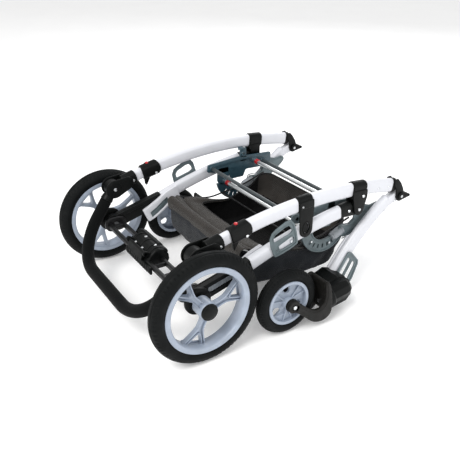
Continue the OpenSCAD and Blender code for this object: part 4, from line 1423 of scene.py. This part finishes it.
head_rear = Shape()
for y, z in ((227, 202), (272, 214)):
    screw(head_rear, TUBE_OUT + 1.4, y, z, 4.0, 2.4)
screw(head_rear, TUBE_OUT - 0.2, 458, 249, 4.2, 2.2)
for y, z in ((200, 183), (232, 196)):
    screw(head_rear, TUBE_IN + 0.6, y, z, 2.6, 1.6, side=-1, socket=False)
both(head_rear).made("rear_leg_screws", SCREW, "rear_legs", "steel")

head_front = Shape()
for y, z in ((623, 239), (589, 218), (564, 201)):
    screw(head_front, TUBE_OUT - 0.4, y, z, 3.2, 1.8, socket=False)
for y, z in ((492, 72), (464, 42)):
    screw(head_front, TUBE_OUT + 1.6, y, z, 3.2, 1.8)
screw(head_front, TUBE_OUT - 0.2, 441, 78, 3.6, 2.2)
both(head_front).made("front_leg_screws", SCREW, "front_legs", "steel")

# ---------------------------------------------------------------- basket

BASKET_X = 193.0


def smooth(t):
    t = max(0.0, min(1.0, t))
    return t * t * (3 - 2 * t)


def along(table, v):
    """Reads a smooth value from (place, value) pairs."""
    for (a, p), (b, q) in zip(table, table[1:]):
        if v <= b:
            return p + (q - p) * smooth((v - a) / (b - a))
    return table[-1][1]


RIM_Z = [(150, 190), (207, 179), (366, 141), (430, 160), (500, 200), (530, 204)]
FLOOR_Z = [(150, 84), (200, 72), (300, 64), (400, 57), (450, 53), (480, 60), (540, 110)]


def crumple(p, size, amount, seed=0.0):
    return noise.fractal(Vector((p.x * size, p.y * size, p.z * size + seed)), 1.0, 2.0, 3) * amount


def tub_ring(level):
    """One loop of the basket's wall: level 0 is the rim and 1 is where the wall meets the floor."""
    rear = along([(0, 164), (0.25, 156), (0.6, 157), (1, 182)], level)
    front = along([(0, 514), (0.3, 512), (0.65, 488), (1, 452)], level)
    half = along([(0, BASKET_X - 1), (0.4, BASKET_X + 1), (0.75, BASKET_X - 2), (1, BASKET_X - 22)], level)
    r = 34.0
    corners = [(half - r, rear + r, -90), (half - r, front - r, 0), (r - half, front - r, 90),
               (r - half, rear + r, 180)]
    plan = []
    for i, (x, y, a) in enumerate(corners):
        for k in range(9):
            b = math.radians(a + 90 * k / 8)
            plan.append((x + r * math.cos(b), y + r * math.sin(b)))
        nx, ny, na = corners[(i + 1) % 4]
        b = math.radians(na)
        end = (nx + r * math.cos(b), ny + r * math.sin(b))
        start = plan[-1]
        n = 44 if i % 2 == 0 else 52
        plan += [(start[0] + (end[0] - start[0]) * k / n,
                  start[1] + (end[1] - start[1]) * k / n) for k in range(1, n)]
    return plan


def tub_shape():
    rows = 26
    rings = []
    top = tub_ring(0.0)
    for k in range(rows + 1):
        level = k / rows
        ring = []
        for (x, y), (x0, y0) in zip(tub_ring(level), top):
            high, low = along(RIM_Z, y0), along(FLOOR_Z, y)
            z = high + (low - high) * (1 - (1 - level) ** 1.25)
            p = mm(x, y, z)
            swell = math.sin(math.pi * min(1.0, level * 1.05))
            out = Vector((x, y - 335, 0)).normalized()
            fold = math.sin(x0 * 0.11 + y0 * 0.083 + 5 * level) * 1.1
            push = (crumple(p, 14, 3.2) + crumple(p, 42, 0.8, 5)) * swell + fold * swell * (0.3 + 0.7 * level)
            p += out * min(push, 2.6) * MM
            ring.append(p)
        rings.append(ring)
    centre = Vector((0.0, (300 - MIDDLE_Y) * MM, 0.0))
    for k in range(1, 12):
        t = 1 - k / 12
        ring = []
        for p in rings[rows]:
            q = centre + (p - centre) * t
            dent = crumple(q, 9, 3.5, 2) * MM * (1 - t)
            q.z = p.z * t + (1 - t) * 64 * MM + dent - 1.5 * MM * math.sin(math.pi * t)
            ring.append(q)
        rings.append(ring)
    return Shape().grid(rings, ends=False), rows, rings


def cloth_piece(shape, name, mats, thick, middle, shadowed=0):
    """A sheet with its own thickness; shadowed is how many slots further on the faces nearer to middle find
    theirs, which mostly hold painted shade.
    """
    ob = shape.made(name, mats[0], "rear_legs", "cloth", angle=180)
    for m in mats[1:]:
        ob.data.materials.append(m)
    if sum((p.center - middle).dot(p.normal) * p.area for p in ob.data.polygons) < 0:
        ob.data.flip_normals()
    solid = ob.modifiers.new("thickness", "SOLIDIFY")
    solid.thickness = thick * MM
    solid.offset = 0.0
    solid.use_even_offset = False
    solid.material_offset = shadowed
    return ob


tub, tub_rows, tub_rings = tub_shape()
BASKET_MIDDLE = mm(0, 320, 130)
# Outer faces take the shaded side cloth and inner faces the near-black cloth: both are painted shade.
basket_tub = cloth_piece(tub, "sagging_basket", [CLOTH_SIDE_SHADE, CLOTH_SIDE_SHADE, CLOTH_PAINTED_SHADE, CLOTH], 1.4,
                         BASKET_MIDDLE, 2)
for poly in basket_tub.data.polygons:
    # Inside, the front panel keeps the plain charcoal cloth where light falls on it; the rest of the inside
    # is painted shade.
    front_panel = poly.center.y > mm(0, 478, 0).y and poly.center.z > 0.125
    poly.material_index = 1 if front_panel else 0


def band_rows(x):
    """Side profile of the rear band at a place across it: the fat roll, its seam and the second band."""
    k = abs(x) / BASKET_X
    sag = 1 - k**2.6
    edge = 250 + 4 * sag + 128 * smooth((k - 0.80) / 0.2) ** 1.6
    seam_y, seam_z = 205 - 10 * sag, 181 - 17 * sag
    roll_z = 183 - 3 * sag
    pts = [(159.0, roll_z - 22), (157.6, roll_z - 12)]
    for i in range(9):
        a = math.radians(185 - 18.5 * i)
        pts.append((169.5 + 12.5 * math.cos(a), roll_z + 13.0 * math.sin(a)))
    last = pts[-1]
    for i in range(1, 8):
        t = i / 8
        puff = 4.6 * math.sin(math.pi * t) ** 0.7
        pts.append((last[0] + (seam_y - last[0]) * t, last[1] + (seam_z - last[1]) * t + puff))
    pts.append((seam_y, seam_z - 1.2))
    mid_z = 158 - 3 * sag
    for i in range(1, 17):
        t = i / 16
        y = seam_y + (edge - seam_y) * t
        rim = along(RIM_Z, y) + 1.5
        inner = seam_z + (mid_z - seam_z) * smooth(t)
        w = k**4
        puff = 4.2 * math.sin(math.pi * min(1.0, t * 1.02)) ** 0.6 * (1 - 0.75 * w)
        pts.append((y, inner * (1 - w) + rim * w + puff))
    pts.append((edge - 1.0, pts[-1][1] - 4.0))
    return pts


def band_shape():
    rings = []
    n = 96
    for i in range(n + 1):
        t = 2 * i / n - 1
        x = BASKET_X * math.copysign(1 - (1 - abs(t)) ** 1.35, t)
        ring = []
        for y, z in band_rows(x):
            p = mm(x, y, z)
            p.z += (crumple(p, 9, 1.2, 3) + crumple(p, 42, 0.3, 8)) * MM
            p.y += crumple(p, 9, 0.8, 6) * MM
            ring.append(p)
        rings.append(ring)
    return Shape().grid(rings, closed=False, ends=False)


# The band's underside takes the near-black cloth: painted shade.
rear_band = cloth_piece(band_shape(), "rear_basket_band", [CLOTH, CLOTH_PAINTED_SHADE], 2.0, mm(0, 230, 0), 1)


def seam_path(row, lift):
    path = []
    for i in range(61):
        x = BASKET_X * (2 * i / 60 - 1) * 0.995
        y, z = band_rows(x)[row]
        path.append(mm(x, y, z + lift))
    return path


def trim(name, radius, sides, *paths):
    """Piping, tape or binding that runs along edges of the cloth."""
    s = Shape()
    for path in paths:
        s.sweep(path, radius, sides)
    return s.made(name, BINDING, "rear_legs", "cloth", angle=60)


piping = trim("dark_piping", 1.7, 10, seam_path(18, 0.6))
edge_tape = trim("opening_edge_tape", 1.5, 10, seam_path(34, 0.8))
rim_loop = [mm(x, y, along(RIM_Z, y) + 0.5) for x, y in tub_ring(0.0) if y > 200]
right = [p for p in rim_loop if p.x > 0]
left = [p for p in rim_loop if p.x <= 0]
hem = trim("rim_binding", 2.3, 12, right + left)


def nearest(ring, x, y):
    """The point of a ring that is nearest to a place, seen from above."""
    return min(ring, key=lambda p: (p - mm(x, y, p.z / MM)).length)


columns = []
for sx in (1, -1):
    column = [nearest(ring, sx * 186, 172) for ring in tub_rings[:tub_rows]]
    out = Vector((sx, -1, 0)).normalized() * 1.2 * MM
    columns.append([p + out for p in column])
corner_piping = trim("corner_piping", 1.3, 8, *columns)
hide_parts("basket")

WIRE_X = 200
WIRE = [(190, 189), (245, 172), (300, 160), (349, 164), (420, 174), (505, 200)]
wires = Shape()
for sign in (1, -1):
    run = [mm(sign * WIRE_X, y, z) for y, z in WIRE]
    wires.sweep(smooth_path(run, 10), 2.5, 14)
wires.sweep([mm(x, 349, 164.5) for x in (-199, -100, 0, 100, 199)], 2.5, 14)
wires.made("basket_rods", BEAM, "rear_legs", "black_beam", "basket_wires")

# ---------------------------------------------------------------- parts kept from the frame

for name in ("stub_axles", "pivot_pins", "swivel_pins"):
    mesh = NODES[name].data
    mesh.materials.clear()
    mesh.materials.append(STEEL)
